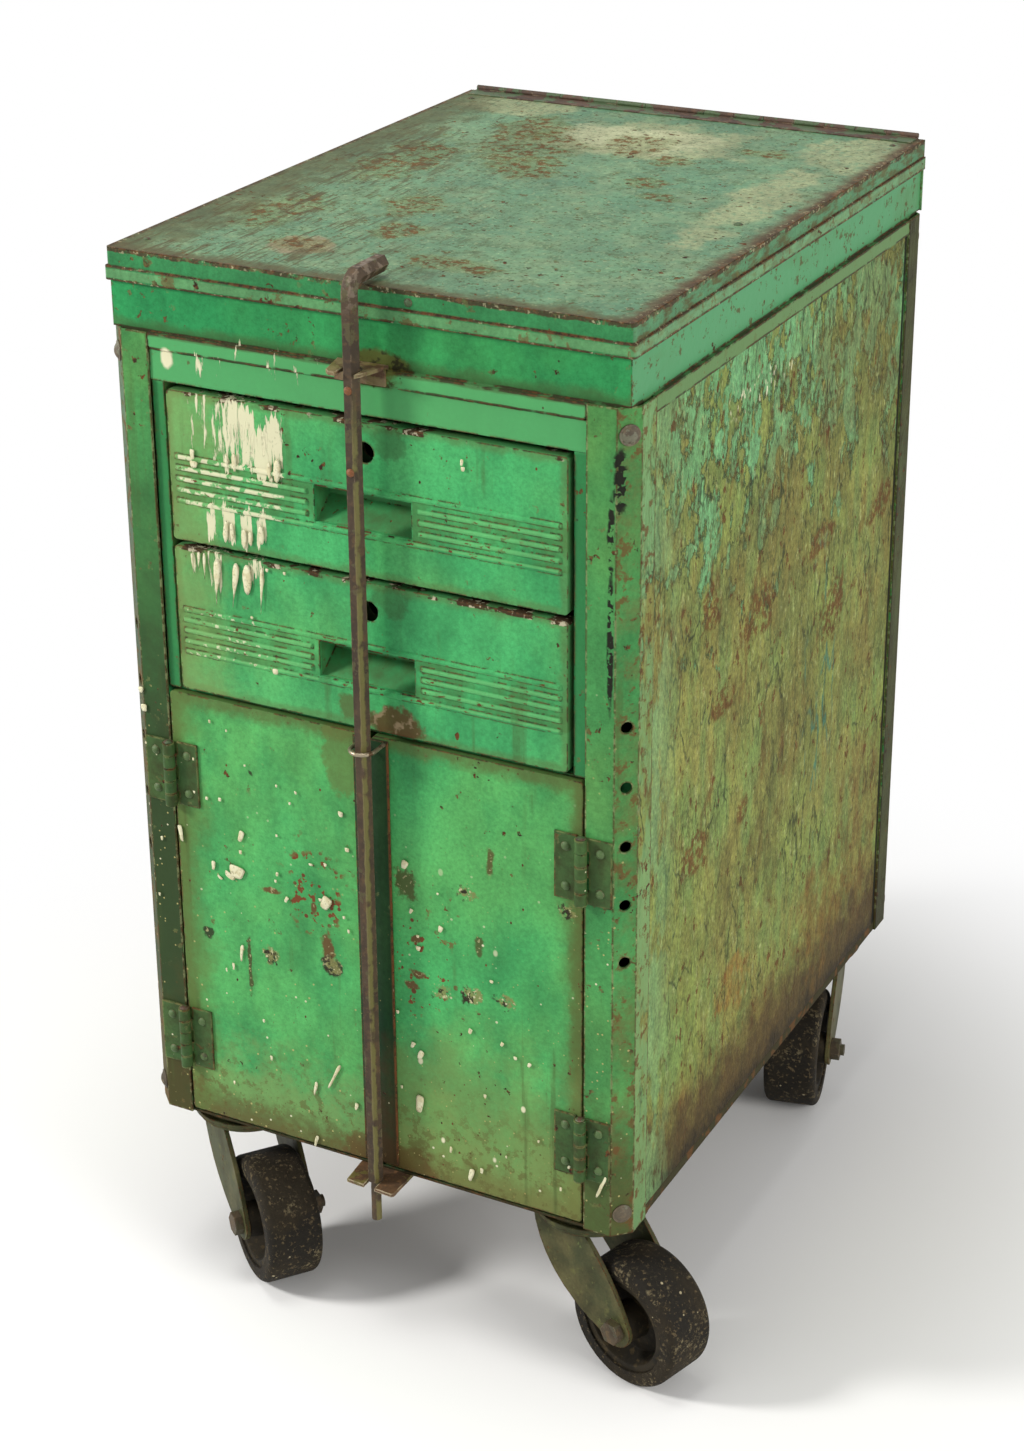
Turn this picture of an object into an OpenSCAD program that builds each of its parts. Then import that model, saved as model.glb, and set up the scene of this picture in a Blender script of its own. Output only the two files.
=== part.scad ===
// Rolling tool cabinet: a hinged-lid till over two drawers and a two-door cupboard,
// with a lift-out lock bar down the front and four swivel casters.
// Millimetres, Z up, the front faces -Y, and the floor is at Z = 0.

/* [Body] */
// Width over the corner posts
body_w = 458; // [440:1:490]
// Depth over the corner posts
body_d = 607; // [560:1:660]
// Height of the corner posts
post_h = 713; // [700:1:760]
// Sheet thickness of the panels
sheet = 1.5; // [1:0.1:2]
// Sheet thickness of the corner posts
post_t = 2; // [1.5:0.1:2.5]
// Width of a post on the front and on the back, chamfer included
post_front_w = 38.5; // [36:0.5:42]
// Width of a post on the sides, chamfer included
post_side_w = 38; // [34:0.5:44]
// Leg of the 45 degree chamfer down each post
chamfer = 14; // [12:0.5:17]
// Height of the turned-up edge of the bottom pan
pan_h = 9; // [7:0.5:14]

/* [Post holes and bolts] */
// Diameter of the accessory holes
hole_d = 9.5; // [7:0.5:11]
// Number of accessory holes in each post
hole_count = 5; // [1:1:6]
// Distance between two accessory holes
hole_pitch = 50.8; // [25:0.1:52]
// Distance from the top of the post to the first hole
hole_drop = 254.6; // [120:0.1:300]
// Diameter of the post bolts
post_bolt_d = 8; // [6:0.5:10]
// Diameter of the post bolts' heads
post_head_d = 16.5; // [14:0.5:18]
// Distance from the post's top and bottom to its bolts
post_bolt_end = 21; // [17:0.5:30]

/* [Till and lid] */
// Height of the band between the posts and the lid
band_h = 38; // [30:1:48]
// Height of the lid's rim
rim_h = 26; // [22:1:34]
// Height of the hem along the lower edge of the rim
hem_h = 11; // [8:0.5:13]
// How far the hem stands out of the rim
hem_t = 1.5; // [1:0.1:2.2]
// How far the lid stays inside the posts' outline
lid_inset = 1; // [0:0.1:2]
// Gap between the band and the inside of the lid's rim
lid_fit = 0.7; // [0.5:0.1:1.2]
// Corner radius of the lid
lid_corner = 4; // [3:0.5:6]
// Height of the skirt below the band
skirt_h = 13; // [10:0.5:16]
// Height of the front rail below the skirt
rail_h = 25.5; // [20:0.5:30]
// Depth of the fold along the front rail's upper edge
rail_head = 24; // [16:1:28]
// Depth of the fold along the front rail's lower edge
rail_foot = 16; // [12:1:20]
// Diameter of the lid hinge's barrel
lid_barrel_d = 5; // [4.4:0.1:6]
// Diameter of the lid hinge's pin
lid_pin_d = 2.6; // [2:0.1:3]
// Length of the lid hinge
lid_hinge_len = 440; // [380:1:440]
// Number of knuckles of the lid hinge
lid_knuckles = 15; // [7:2:21]
// Width of the lid hinge's leaf
lid_leaf_w = 20; // [14:1:26]
// Diameter of the round-headed screws in the lid
screw_d = 6; // [5:0.5:8]
// Distance from the lid's sides to its screws
screw_in = 19.5; // [14:0.5:26]
// Distance from the lid's front and back to its screws
screw_end = 33; // [28:0.5:40]

/* [Drawers] */
// Width of the stiles on both sides of the drawers
stile_w = 11; // [8:0.5:13]
// Gap between a drawer front and the stiles
drawer_gap = 3.7; // [2.5:0.1:4.5]
// Height of the drawer fronts
drawer_h = 125.5; // [116:0.5:130]
// Gap above and below each drawer
slit = 5.5; // [4.5:0.1:7]
// Depth of the drawer trays
tray_depth = 540; // [440:1:560]
// Height of the drawer trays
tray_h = 100; // [80:1:105]
// Turned-back edge of the drawer fronts
front_return = 14; // [10:0.5:16]
// Width of the finger pull
pull_w = 86; // [70:1:110]
// Clear height of the finger pull
pull_h = 30; // [26:0.5:34]
// Depth of the finger pull
pull_deep = 24; // [18:0.5:30]
// Distance from the top of a drawer front to its finger pull
pull_drop = 58; // [52:0.5:62]
// Width of one pressed rib
rib_w = 5; // [4:0.1:6]
// How far the ribs stand out
rib_proud = 1.8; // [1:0.1:2.4]
// Number of ribs on each side of the finger pull
rib_count = 5; // [3:2:7]
// Diameter of the lock hole
lock_d = 17; // [12:0.5:20]
// Distance from the top of a drawer front to its lock hole
lock_drop = 24; // [18:0.5:28]

/* [Doors] */
// Depth of the doors' turned-back edges
door_t = 16; // [12:0.5:18]
// Gap between a door and its post
door_gap = 2; // [1.5:0.1:3]
// Half of the gap between the two doors, behind the cover strip
meet_gap = 2.5; // [2:0.1:4]
// Gap between the doors' lower edge and the bottom of the body
door_lift = 5; // [4:0.5:8]
// How far the cover strip laps over the right door
strip_lap = 17.5; // [12:0.5:22]
// How far the cover strip lies on the left door
strip_hold = 14; // [10:0.5:20]
// Thickness of the cover strip
strip_t = 2; // [1.5:0.1:3]
// Height of a butt hinge
hinge_h = 58; // [46:1:70]
// Width of one hinge leaf
leaf_w = 25; // [20:0.5:25]
// Thickness of the hinge leaves
leaf_t = 1.8; // [1.5:0.1:2.2]
// Diameter of the hinge barrel
barrel_d = 10; // [9:0.5:12]
// Diameter of the hinge pins
hinge_pin_d = 5; // [4:0.1:6]
// Distance from the door's ends to the middle of its hinges
hinge_end = 74; // [60:1:90]

/* [Lock bar] */
// Width across the flats of the hexagon bar
bar_af = 12.5; // [10:0.1:14]
// Distance from the middle of the cabinet to the bar
bar_x = 4; // [2:0.5:6]
// Distance from the posts' front to the bar's centre
bar_off = 16; // [14:0.5:20]
// Reach of the hook over the lid, from the bar's centre
hook_reach = 47; // [36:0.5:60]
// Gap between the hook and the lid
hook_gap = 3; // [1.5:0.1:5]
// Bend radius of the hook, at the bar's centre
hook_r = 12; // [9:0.5:16]
// Diameter of the pin at the bar's lower end
bar_pin_d = 8.5; // [7:0.1:9.5]
// Length of that pin
bar_pin_len = 39; // [28:0.5:50]
// Side clearance of the bar in its guides
guide_gap = 1.2; // [1:0.1:2]
// Thickness of the two guide plates
guide_t = 3; // [2.5:0.1:4]
// Wire diameter of the loop on the left door
loop_wire = 3.5; // [3:0.1:4.5]

/* [Casters] */
// Diameter of the wheels
wheel_d = 114; // [100:1:130]
// Width of the wheels' tread
tread_w = 50; // [32:1:52]
// Thickness of the tyres
tyre_t = 14; // [9:0.5:18]
// Rounding of the tyres' shoulders
shoulder = 6; // [3:0.5:7]
// Wall of the wheels' hub
hub_wall = 9; // [6:0.5:12]
// Thickness of the wheels' web
web_t = 14; // [8:0.5:18]
// Thickness of the wheels' rim
core_rim = 6; // [4:0.5:8]
// Distance from the swivel axis to the axle
trail = 57; // [36:1:60]
// Distance from the axle up to the fork's crown
axle_drop = 80.5; // [76:0.5:95]
// Thickness of the fork's legs
fork_t = 4; // [3:0.5:5]
// Gap between the wheel and each fork leg
fork_gap = 3.5; // [2.5:0.5:5]
// Diameter of the fork's crown
crown_d = 98; // [84:1:104]
// Height of the fork's crown
crown_h = 8.7; // [7:0.1:11]
// Height of the fixed upper race
race_h = 8; // [6:0.5:10]
// Gap between the two races
swivel_gap = 0.3; // [0.2:0.05:0.5]
// Diameter of the axle bolts
axle_d = 12; // [10:0.5:14]
// Diameter of the swivel kingpins
kingpin_d = 14; // [12:0.5:18]
// Thickness of the caster plates
plate_t = 3; // [2.5:0.5:4]
// Distance from the body's sides to the swivel axes
caster_in = 59; // [56:0.5:70]
// Diameter of the caster bolts
caster_bolt_d = 8; // [6:0.5:9]
// Heading of the front left caster
turn_front_left = -38; // [-180:1:180]
// Heading of the front right caster
turn_front_right = -17; // [-180:1:180]
// Heading of the rear right caster
turn_rear_right = -77; // [-180:1:180]
// Heading of the rear left caster
turn_rear_left = -62; // [-180:1:180]

/* [Hidden] */
$fn = 48;
eps = 0.5;
pin_gap = 0.05;
knuckle_gap = 0.4;
rest_gap = 0.3;
seat_gap = 0.5;

// Heights, from the floor up
axle_z = wheel_d / 2;
crown_z = axle_z + axle_drop;
race_z = crown_z + crown_h + swivel_gap;
plate_z = race_z + race_h;
base_z = plate_z + plate_t;
post_top = base_z + post_h;
rim_z = post_top + band_h;
lid_top = rim_z + rim_h;
skirt_z = post_top - skirt_h;
rail_z = skirt_z - rail_h;
upper_z = rail_z - slit - drawer_h;
lower_z = upper_z - slit - drawer_h;
door_top = lower_z - slit;
door_z = base_z + door_lift;
door_h = door_top - door_z;

// Half widths and depths
half_w = body_w / 2;
half_d = body_d / 2;
inner_w = half_w - post_t;
inner_d = half_d - post_t;
front_y = -half_d;
jamb_x = half_w - post_front_w;
stile_x = jamb_x - rest_gap;
drawer_w = 2 * (stile_x - stile_w - drawer_gap);
wall_end = chamfer + 3;
lid_half_w = half_w - lid_inset;
lid_front = front_y + lid_inset;
band_half_w = lid_half_w - hem_t - sheet - lid_fit;
band_front = lid_front + hem_t + sheet + lid_fit;

// The lid hinge
lid_barrel_r = lid_barrel_d / 2;
lid_leaf_t = 1.2;
lid_axis_y = half_d - lid_barrel_r;
lid_axis_z = lid_top + lid_barrel_r;
strip_back = half_d - lid_leaf_t;
band_back = strip_back - sheet;
lid_back = band_back - 0.8;

// The doors
left_face = front_y + seat_gap;
right_face = left_face + seat_gap;
hinge_x = jamb_x - door_gap / 2;
hinge_y = front_y - barrel_d / 2;
knuckle_h = hinge_h / 5;
hinge_levels = [door_z + hinge_end, door_top - hinge_end];
strip_face = left_face - strip_t;
strip_top = door_top - 2;
strip_z = door_z + 3;

// The lock bar
bar_y = front_y - bar_off;
bar_r = bar_af / 2 / cos(30);
hook_z = lid_top + hook_gap + bar_af / 2;
bar_foot = base_z + rest_gap;
loop_r = bar_r + guide_gap + loop_wire / 2;
loop_z = strip_top - loop_wire / 2 - 1;
guide_z = post_top + rest_gap;

// The casters
fork_in = tread_w / 2 + fork_gap;
caster_x = half_w - caster_in;
caster_y = half_d - caster_in;
eye_r = axle_d * 4 / 3;
core_r = wheel_d / 2 - tyre_t;
race_d = crown_d - 8;
caster_head_d = caster_bolt_d * 1.75;
bolt_ring = (race_d + caster_head_d) / 2 + 1.25;
bolt_x = bolt_ring * cos(34.3);
bolt_y = bolt_ring * sin(34.3);
plate_rim = caster_bolt_d;
CASTERS = [
    [-caster_x, -caster_y, turn_front_left],
    [caster_x, -caster_y, turn_front_right],
    [caster_x, caster_y, turn_rear_right],
    [-caster_x, caster_y, turn_rear_left],
];

// The casters' headings shift the outline, so the model is centred on what they leave
function reach(a, b) = (wheel_d / 2 - shoulder) * abs(a) + (tread_w / 2 - shoulder) * abs(b) + shoulder;
function tyre_x(c, side) = c[0] + trail * cos(c[2]) + side * reach(cos(c[2]), sin(c[2]));
function tyre_y(c, side) = c[1] + trail * sin(c[2]) + side * reach(sin(c[2]), cos(c[2]));
mid_x = (max(concat([half_w], [for (c = CASTERS) tyre_x(c, 1)]))
       + min(concat([-half_w], [for (c = CASTERS) tyre_x(c, -1)]))) / 2;
mid_y = (max(concat([half_d], [for (c = CASTERS) tyre_y(c, 1)]))
       + min(concat([bar_y - bar_af / 2], [for (c = CASTERS) tyre_y(c, -1)]))) / 2;

// Shared shapes
module place() {
    translate([-mid_x, -mid_y, 0]) children();
}

module both_sides() {
    children();
    mirror([1, 0, 0]) children();
}

// A box from its low corner to its high corner
module span(low, high) {
    translate(low) cube(high - low);
}

module round_rect(w, h, r) {
    translate([r, 0]) square([w - 2 * r, h]);
    translate([0, r]) square([w, h - 2 * r]);
    for (x = [r, w - r], y = [r, h - r]) translate([x, y]) circle(r);
}

// A flat outline drawn in X and Z, standing at depth y and reaching back by t
module upright(x, y, z, t) {
    translate([x, y + t, z]) rotate([90, 0, 0]) linear_extrude(t) children();
}

// A shallow pressed pan: a face with edges turned back
module pressed_pan(x, y, z, w, h, deep, t, r) {
    difference() {
        upright(x, y, z, deep) round_rect(w, h, r);
        span([x + t, y + t, z + t], [x + w - t, y + deep + eps, z + h - t]);
    }
}

module dome(d, h) {
    r = (d * d / 4 + h * h) / (2 * h);
    intersection() {
        translate([0, 0, h - r]) sphere(r);
        cylinder(d = d, h = h);
    }
}

// Corner posts
module post_profile() {
    inner = chamfer + post_t * (sqrt(2) - 1);
    polygon([
        [post_front_w, 0], [chamfer, 0], [0, chamfer], [0, post_side_w],
        [post_t, post_side_w], [post_t, inner], [inner, post_t], [post_front_w, post_t],
    ]);
}

module at_chamfer(z) {
    translate([chamfer / 2, chamfer / 2, z]) rotate([0, 90, 45]) children();
}

module corner(sx, sy) {
    mirror([sx > 0 ? 1 : 0, 0, 0]) mirror([0, sy > 0 ? 1 : 0, 0])
        translate([-half_w, -half_d, 0]) children();
}

module post(sx, sy) {
    corner(sx, sy) difference() {
        translate([0, 0, base_z]) linear_extrude(post_h) post_profile();
        for (i = [0 : hole_count - 1])
            at_chamfer(post_top - hole_drop - i * hole_pitch)
                translate([0, 0, -post_t]) cylinder(d = hole_d, h = 3 * post_t);
        for (z = [base_z + post_bolt_end, post_top - post_bolt_end])
            at_chamfer(z) translate([0, 0, -post_t]) cylinder(d = post_bolt_d + 0.4, h = 3 * post_t);
    }
}

module post_front_left() color("seagreen") place() post(-1, -1);

module post_front_right() color("seagreen") place() post(1, -1);

module post_rear_left() color("seagreen") place() post(-1, 1);

module post_rear_right() color("seagreen") place() post(1, 1);

// A washer-faced bolt head outside, a shank through the chamfer and a nut inside
module post_bolt() {
    translate([0, 0, -1.2]) cylinder(d = post_head_d, h = 1.2);
    translate([0, 0, -1.2]) mirror([0, 0, 1]) dome(post_head_d - 3, 3);
    translate([0, 0, -0.6]) cylinder(d = post_bolt_d, h = post_t + 8.6);
    translate([0, 0, post_t]) cylinder(d = post_bolt_d * 1.8, h = 5.5, $fn = 6);
}

module post_bolts() color("saddlebrown") place() {
    for (sx = [-1, 1], sy = [-1, 1], z = [base_z + post_bolt_end, post_top - post_bolt_end])
        corner(sx, sy) at_chamfer(z) post_bolt();
}

// Panels: flat sheets that stand on the pan's rim and run behind the posts and the skirt
module side_panel() {
    low = base_z + pan_h;
    span([inner_w - sheet, -half_d + wall_end, low], [inner_w, half_d - wall_end, post_top - sheet]);
}

module side_panel_left() color("olivedrab") place() mirror([1, 0, 0]) side_panel();

module side_panel_right() color("olivedrab") place() side_panel();

module back_panel() color("olivedrab") place() {
    low = base_z + pan_h;
    span([-half_w + wall_end, inner_d - sheet, low], [half_w - wall_end, inner_d, skirt_z]);
}

// The pan's outline has its corners cut back behind the posts' chamfers
module pan_outline(side, front, back, cut) {
    polygon([
        [-side, front + cut], [-side + cut, front], [side - cut, front], [side, front + cut],
        [side, back - cut], [side - cut, back], [-side + cut, back], [-side, back - cut],
    ]);
}

module bottom_pan() color("darkolivegreen") place() {
    front = front_y + post_t + 0.5;
    floor_t = 2;
    difference() {
        translate([0, 0, base_z]) linear_extrude(pan_h) pan_outline(inner_w, front, inner_d, chamfer);
        translate([0, 0, base_z + floor_t]) linear_extrude(pan_h)
            pan_outline(inner_w - sheet, front - chamfer, inner_d - sheet, chamfer);
        for (c = CASTERS, x = [-bolt_x, bolt_x], y = [-bolt_y, bolt_y])
            translate([c[0] + x, c[1] + y, base_z - eps])
                cylinder(d = caster_bolt_d + 0.6, h = floor_t + 2 * eps);
        translate([-half_w, front_y, base_z + door_lift - 0.5]) cube([body_w, door_t + 4, pan_h]);
    }
}

// The till: a band with a skirt pressed over the panels, and a floor.
// Both are notched at their corners, where they go down behind the posts' chamfers.
module till_notches() {
    leg = chamfer + post_t * sqrt(2) + seat_gap;
    for (sx = [-1, 1], sy = [-1, 1]) corner(sx, sy) translate([0, 0, skirt_z - eps])
        linear_extrude(skirt_h + eps + rest_gap) polygon([[0, 0], [leg, 0], [0, leg]]);
}

module till_band() color("mediumseagreen") place() {
    side_len = body_d - 2 * post_side_w - 1;
    front_len = body_w - 2 * post_front_w - 1;
    skirt_out = inner_w + sheet;
    difference() {
        span([-band_half_w, band_front, skirt_z], [band_half_w, band_back, lid_top - sheet - rest_gap]);
        span([-band_half_w + sheet, band_front + sheet, skirt_z - eps],
             [band_half_w - sheet, band_back - sheet, lid_top]);
        till_notches();
    }
    both_sides() {
        span([band_half_w - eps, -side_len / 2, post_top - sheet], [skirt_out, side_len / 2, post_top]);
        span([inner_w, -side_len / 2, skirt_z], [skirt_out, side_len / 2, post_top]);
    }
    span([-front_len / 2, -inner_d - sheet, post_top - sheet], [front_len / 2, band_front + eps, post_top]);
    upright(-front_len / 2, -inner_d - sheet, skirt_z, sheet) {
        translate([0, 4]) square([front_len, skirt_h - 4]);
        translate([4, 0]) square([front_len - 8, skirt_h]);
        for (x = [4, front_len - 4]) translate([x, 4]) circle(4);
    }
    span([-front_len / 2, band_back - eps, post_top - sheet], [front_len / 2, inner_d + 1, post_top]);
    span([-front_len / 2, inner_d, skirt_z - 6], [front_len / 2, inner_d + 1, post_top]);
}

module till_floor() color("darkseagreen") place() difference() {
    span([-band_half_w + sheet, band_front + sheet, skirt_z],
         [band_half_w - sheet, band_back - sheet, skirt_z + sheet]);
    till_notches();
}

module rear_strip() color("mediumseagreen") place() {
    span([-lid_half_w + 2, band_back, post_top], [lid_half_w - 2, strip_back, lid_top - 0.5]);
}

// The front frame
module front_rail() color("seagreen") place() {
    x = jamb_x - 0.3;
    y = -inner_d;
    span([-x, y, rail_z], [x, y + sheet, skirt_z]);
    span([-x, y, rail_z], [x, y + rail_foot, rail_z + sheet]);
    span([-x, y, skirt_z - sheet], [x, y + rail_head, skirt_z]);
}

module cross_rail() color("seagreen") place() {
    back = front_y + door_t + 3;
    x = jamb_x + 8;
    span([-jamb_x + 0.3, front_y + 6, door_top + 1], [jamb_x - 0.3, back, door_top + 3]);
    span([-x, back, door_top + 1], [x, back + 30, door_top + 3]);
    span([-x, back, door_top - 24], [x, back + sheet, door_top + 3]);
    both_sides() span([x - sheet, back, door_top - 24], [inner_w - sheet, back + sheet, door_top + 3]);
}

stile_back = front_y + 20;
module drawer_stiles() color("seagreen") place() both_sides() {
    y = front_y + 3.5;
    low = door_top + 3;
    difference() {
        span([stile_x - stile_w, y, low], [stile_x, stile_back, rail_z]);
        span([stile_x - stile_w + sheet, y + sheet, low - eps],
             [stile_x - sheet, stile_back + eps, rail_z + eps]);
    }
}

tray_x = stile_x - stile_w - drawer_gap - 3.5;
module drawer_runners() color("dimgray") place() both_sides() for (z = [upper_z, lower_z]) {
    level = z + 6;
    low = level - sheet - rest_gap;
    span([tray_x - 12, stile_back, low], [stile_x, inner_d - sheet, level - rest_gap]);
    span([stile_x - sheet, stile_back, low], [stile_x, inner_d - sheet, level + 34]);
}

// Drawers
function pull_z(z) = z + drawer_h - pull_drop - pull_h;

module pull_space(z, grow) {
    low = pull_z(z) - grow;
    high = pull_z(z) + pull_h + grow;
    deep = pull_deep + grow;
    translate([-pull_w / 2 - grow, 0, 0]) rotate([90, 0, 90]) linear_extrude(pull_w + 2 * grow)
        polygon([
            [left_face - (grow > 0 ? 0 : 4), low], [left_face - (grow > 0 ? 0 : 4), high],
            [left_face + deep, high], [left_face + deep, high - 14 - grow],
            [left_face + deep - 5, high - 18 - grow], [left_face + 3, low],
        ]);
}

// A rib is a half-round bead pressed out of the face, with its ends run out at 45 degrees
module rib(from, to) {
    root = 0.4;
    intersection() {
        translate([from, 0, 0]) rotate([90, 0, 90]) linear_extrude(to - from) intersection() {
            translate([rib_w / 2 - rib_proud, 0]) circle(d = rib_w);
            translate([-rib_w, -rib_w]) square([rib_w + root, 2 * rib_w]);
        }
        translate([0, 0, -rib_w]) linear_extrude(2 * rib_w) polygon([
            [from, root], [from + root + rib_proud, -rib_proud - 0.01],
            [to - root - rib_proud, -rib_proud - 0.01], [to, root],
        ]);
    }
}

module ribs(z) {
    edge = drawer_w / 2 - 4.5;
    first = pull_z(z) + pull_h + rib_w / 2 + 1;
    last = pull_z(z) - rib_w / 2 - 1;
    step = (first - last) / (rib_count - 1);
    for (i = [0 : rib_count - 1]) translate([0, left_face, first - i * step]) {
        if (i == 0 || i == rib_count - 1) rib(-edge, edge);
        else both_sides() rib(pull_w / 2 + 5, edge);
    }
}

module drawer_front(z) {
    difference() {
        union() {
            pressed_pan(-drawer_w / 2, left_face, z, drawer_w, drawer_h, front_return, sheet, 3);
            ribs(z);
            pull_space(z, sheet);
        }
        pull_space(z, 0);
        translate([bar_x - 1, left_face - eps, z + drawer_h - lock_drop]) rotate([-90, 0, 0])
            cylinder(d = lock_d, h = sheet + 2 * eps);
    }
}

// The tray's floor and sides are one folded sheet. Its back is set in between them, and its front is a
// panel that closes the back of the pressed front and holds it.
module drawer_tray(z) {
    low = z + 6;
    y = left_face + front_return;
    half = tray_x - sheet - rest_gap;
    inset = sheet / 2;
    difference() {
        span([-tray_x, y + sheet + rest_gap, low], [tray_x, y + tray_depth, low + tray_h]);
        span([-tray_x + sheet, y, low + sheet], [tray_x - sheet, y + tray_depth + eps, low + tray_h + eps]);
    }
    span([-half, y + tray_depth - sheet, low + sheet + rest_gap], [half, y + tray_depth, low + tray_h]);
    difference() {
        upright(-drawer_w / 2 + inset, y, z + inset, sheet)
            round_rect(drawer_w - 2 * inset, drawer_h - 2 * inset, 3 - inset);
        span([-pull_w / 2 - sheet - 1, y - eps, pull_z(z) - sheet - 1],
             [pull_w / 2 + sheet + 1, y + sheet + eps, pull_z(z) + pull_h + sheet + 1]);
        translate([bar_x - 1, y - eps, z + drawer_h - lock_drop]) rotate([-90, 0, 0])
            cylinder(d = lock_d, h = sheet + 2 * eps);
    }
}

module drawer_upper_front() color("mediumseagreen") place() drawer_front(upper_z);

module drawer_upper_tray() color("dimgray") place() drawer_tray(upper_z);

module drawer_lower_front() color("mediumseagreen") place() drawer_front(lower_z);

module drawer_lower_tray() color("dimgray") place() drawer_tray(lower_z);

// Doors
door_w = jamb_x - door_gap - meet_gap;

module door_left_panel() color("seagreen") place()
    pressed_pan(-jamb_x + door_gap, left_face, door_z, door_w, door_h, door_t, sheet, 3);

module door_right_panel() color("seagreen") place()
    pressed_pan(meet_gap, right_face, door_z, door_w, door_h, door_t - seat_gap, sheet, 3);

module door_left_strip() color("darkgreen") place()
    span([-strip_hold, strip_face, strip_z], [strip_lap, left_face, strip_top]);

module door_left_loop() color("silver") place() translate([bar_x, bar_y, loop_z]) {
    rotate([0, 0, 180]) rotate_extrude(angle = 180) translate([loop_r, 0]) circle(d = loop_wire);
    for (x = [-loop_r, loop_r])
        translate([x, 0, 0]) rotate([-90, 0, 0]) cylinder(d = loop_wire, h = strip_face - bar_y);
}

// A butt hinge has five knuckles: the post's leaf holds three and the door's leaf two
module knuckles(rows, reach_to, face) {
    for (i = rows) {
        low = -hinge_h / 2 + i * knuckle_h + knuckle_gap / 2;
        difference() {
            union() {
                translate([0, 0, low]) cylinder(d = barrel_d, h = knuckle_h - knuckle_gap);
                span([min(0, reach_to), face - leaf_t - hinge_y, low],
                     [max(0, reach_to), face - hinge_y, low + knuckle_h - knuckle_gap]);
            }
            translate([0, 0, low - eps]) cylinder(d = hinge_pin_d + 2 * pin_gap, h = knuckle_h + 2 * eps);
        }
    }
}

module hinge_leaf(out, rows, face) {
    near = barrel_d / 2 + 0.6;
    knuckles(rows, out * (near + eps), face);
    span([min(out * near, out * leaf_w), face - leaf_t - hinge_y, -hinge_h / 2 + knuckle_gap / 2],
         [max(out * near, out * leaf_w), face - hinge_y, hinge_h / 2 - knuckle_gap / 2]);
}

module at_hinges(side) {
    for (z = hinge_levels) translate([side * hinge_x, hinge_y, z]) children();
}

module leaf_rivets(out, face) {
    for (z = [-hinge_h * 0.3, hinge_h * 0.3])
        translate([out * (leaf_w + barrel_d / 2) / 2, face - leaf_t - hinge_y, z]) rotate([90, 0, 0]) dome(8, 2.4);
}

module post_hinge_leaves() color("seagreen") place() for (side = [-1, 1])
    at_hinges(side) hinge_leaf(side, [0, 2, 4], front_y);

module post_hinge_rivets() color("darkgreen") place() for (side = [-1, 1])
    at_hinges(side) leaf_rivets(side, front_y);

module door_hinge_pins() color("saddlebrown") place() for (side = [-1, 1]) at_hinges(side) {
    translate([0, 0, -hinge_h / 2]) cylinder(d = hinge_pin_d, h = hinge_h);
    for (s = [0, 1]) mirror([0, 0, s]) translate([0, 0, hinge_h / 2]) dome(barrel_d - 2, 2);
}

module door_left_leaves() color("seagreen") place() at_hinges(-1) hinge_leaf(1, [1, 3], left_face);

module door_left_rivets() color("darkgreen") place() at_hinges(-1) leaf_rivets(1, left_face);

module door_right_leaves() color("seagreen") place() at_hinges(1) hinge_leaf(-1, [1, 3], right_face);

module door_right_rivets() color("darkgreen") place() at_hinges(1) leaf_rivets(-1, right_face);

// Lid
module rounded_block(half, front, back, low, high, r) {
    translate([-half, front, low]) linear_extrude(high - low) {
        translate([r, 0]) square([2 * half - 2 * r, back - front]);
        translate([0, r]) square([2 * half, back - front - r]);
        for (x = [r, 2 * half - r]) translate([x, r]) circle(r);
    }
}

module lid_shell() color("cadetblue") place() difference() {
    union() {
        rounded_block(lid_half_w - hem_t, lid_front + hem_t, lid_back, rim_z, lid_top, lid_corner);
        rounded_block(lid_half_w, lid_front, lid_back, rim_z, rim_z + hem_h, lid_corner);
    }
    span([-lid_half_w + hem_t + sheet, lid_front + hem_t + sheet, rim_z - eps],
         [lid_half_w - hem_t - sheet, lid_back + eps, lid_top - sheet]);
}

lid_knuckle = lid_hinge_len / lid_knuckles;

// The hinge's barrel lies along X, and every second knuckle belongs to the same leaf
module lid_rows(first) {
    for (i = [first : 2 : lid_knuckles - 1])
        translate([-lid_hinge_len / 2 + i * lid_knuckle + knuckle_gap / 2, lid_axis_y, lid_axis_z])
            children();
}

module lid_knuckle_ring() {
    rotate([0, 90, 0]) difference() {
        cylinder(d = lid_barrel_d, h = lid_knuckle - knuckle_gap);
        translate([0, 0, -eps]) cylinder(d = lid_pin_d + 2 * pin_gap, h = lid_knuckle + 2 * eps);
    }
}

module lid_hinge_leaf() color("darkslategray") place() {
    edge = lid_barrel_r + 0.6;
    lid_rows(0) {
        lid_knuckle_ring();
        difference() {
            span([0, -edge - eps, -lid_barrel_r], [lid_knuckle - knuckle_gap, 0, -lid_barrel_r + lid_leaf_t]);
            rotate([0, 90, 0]) translate([0, 0, -eps]) cylinder(d = lid_pin_d + 2 * pin_gap, h = lid_knuckle + 1);
        }
    }
    span([-lid_hinge_len / 2, lid_axis_y - lid_leaf_w, lid_top],
         [lid_hinge_len / 2, lid_axis_y - edge, lid_top + lid_leaf_t]);
}

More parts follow.
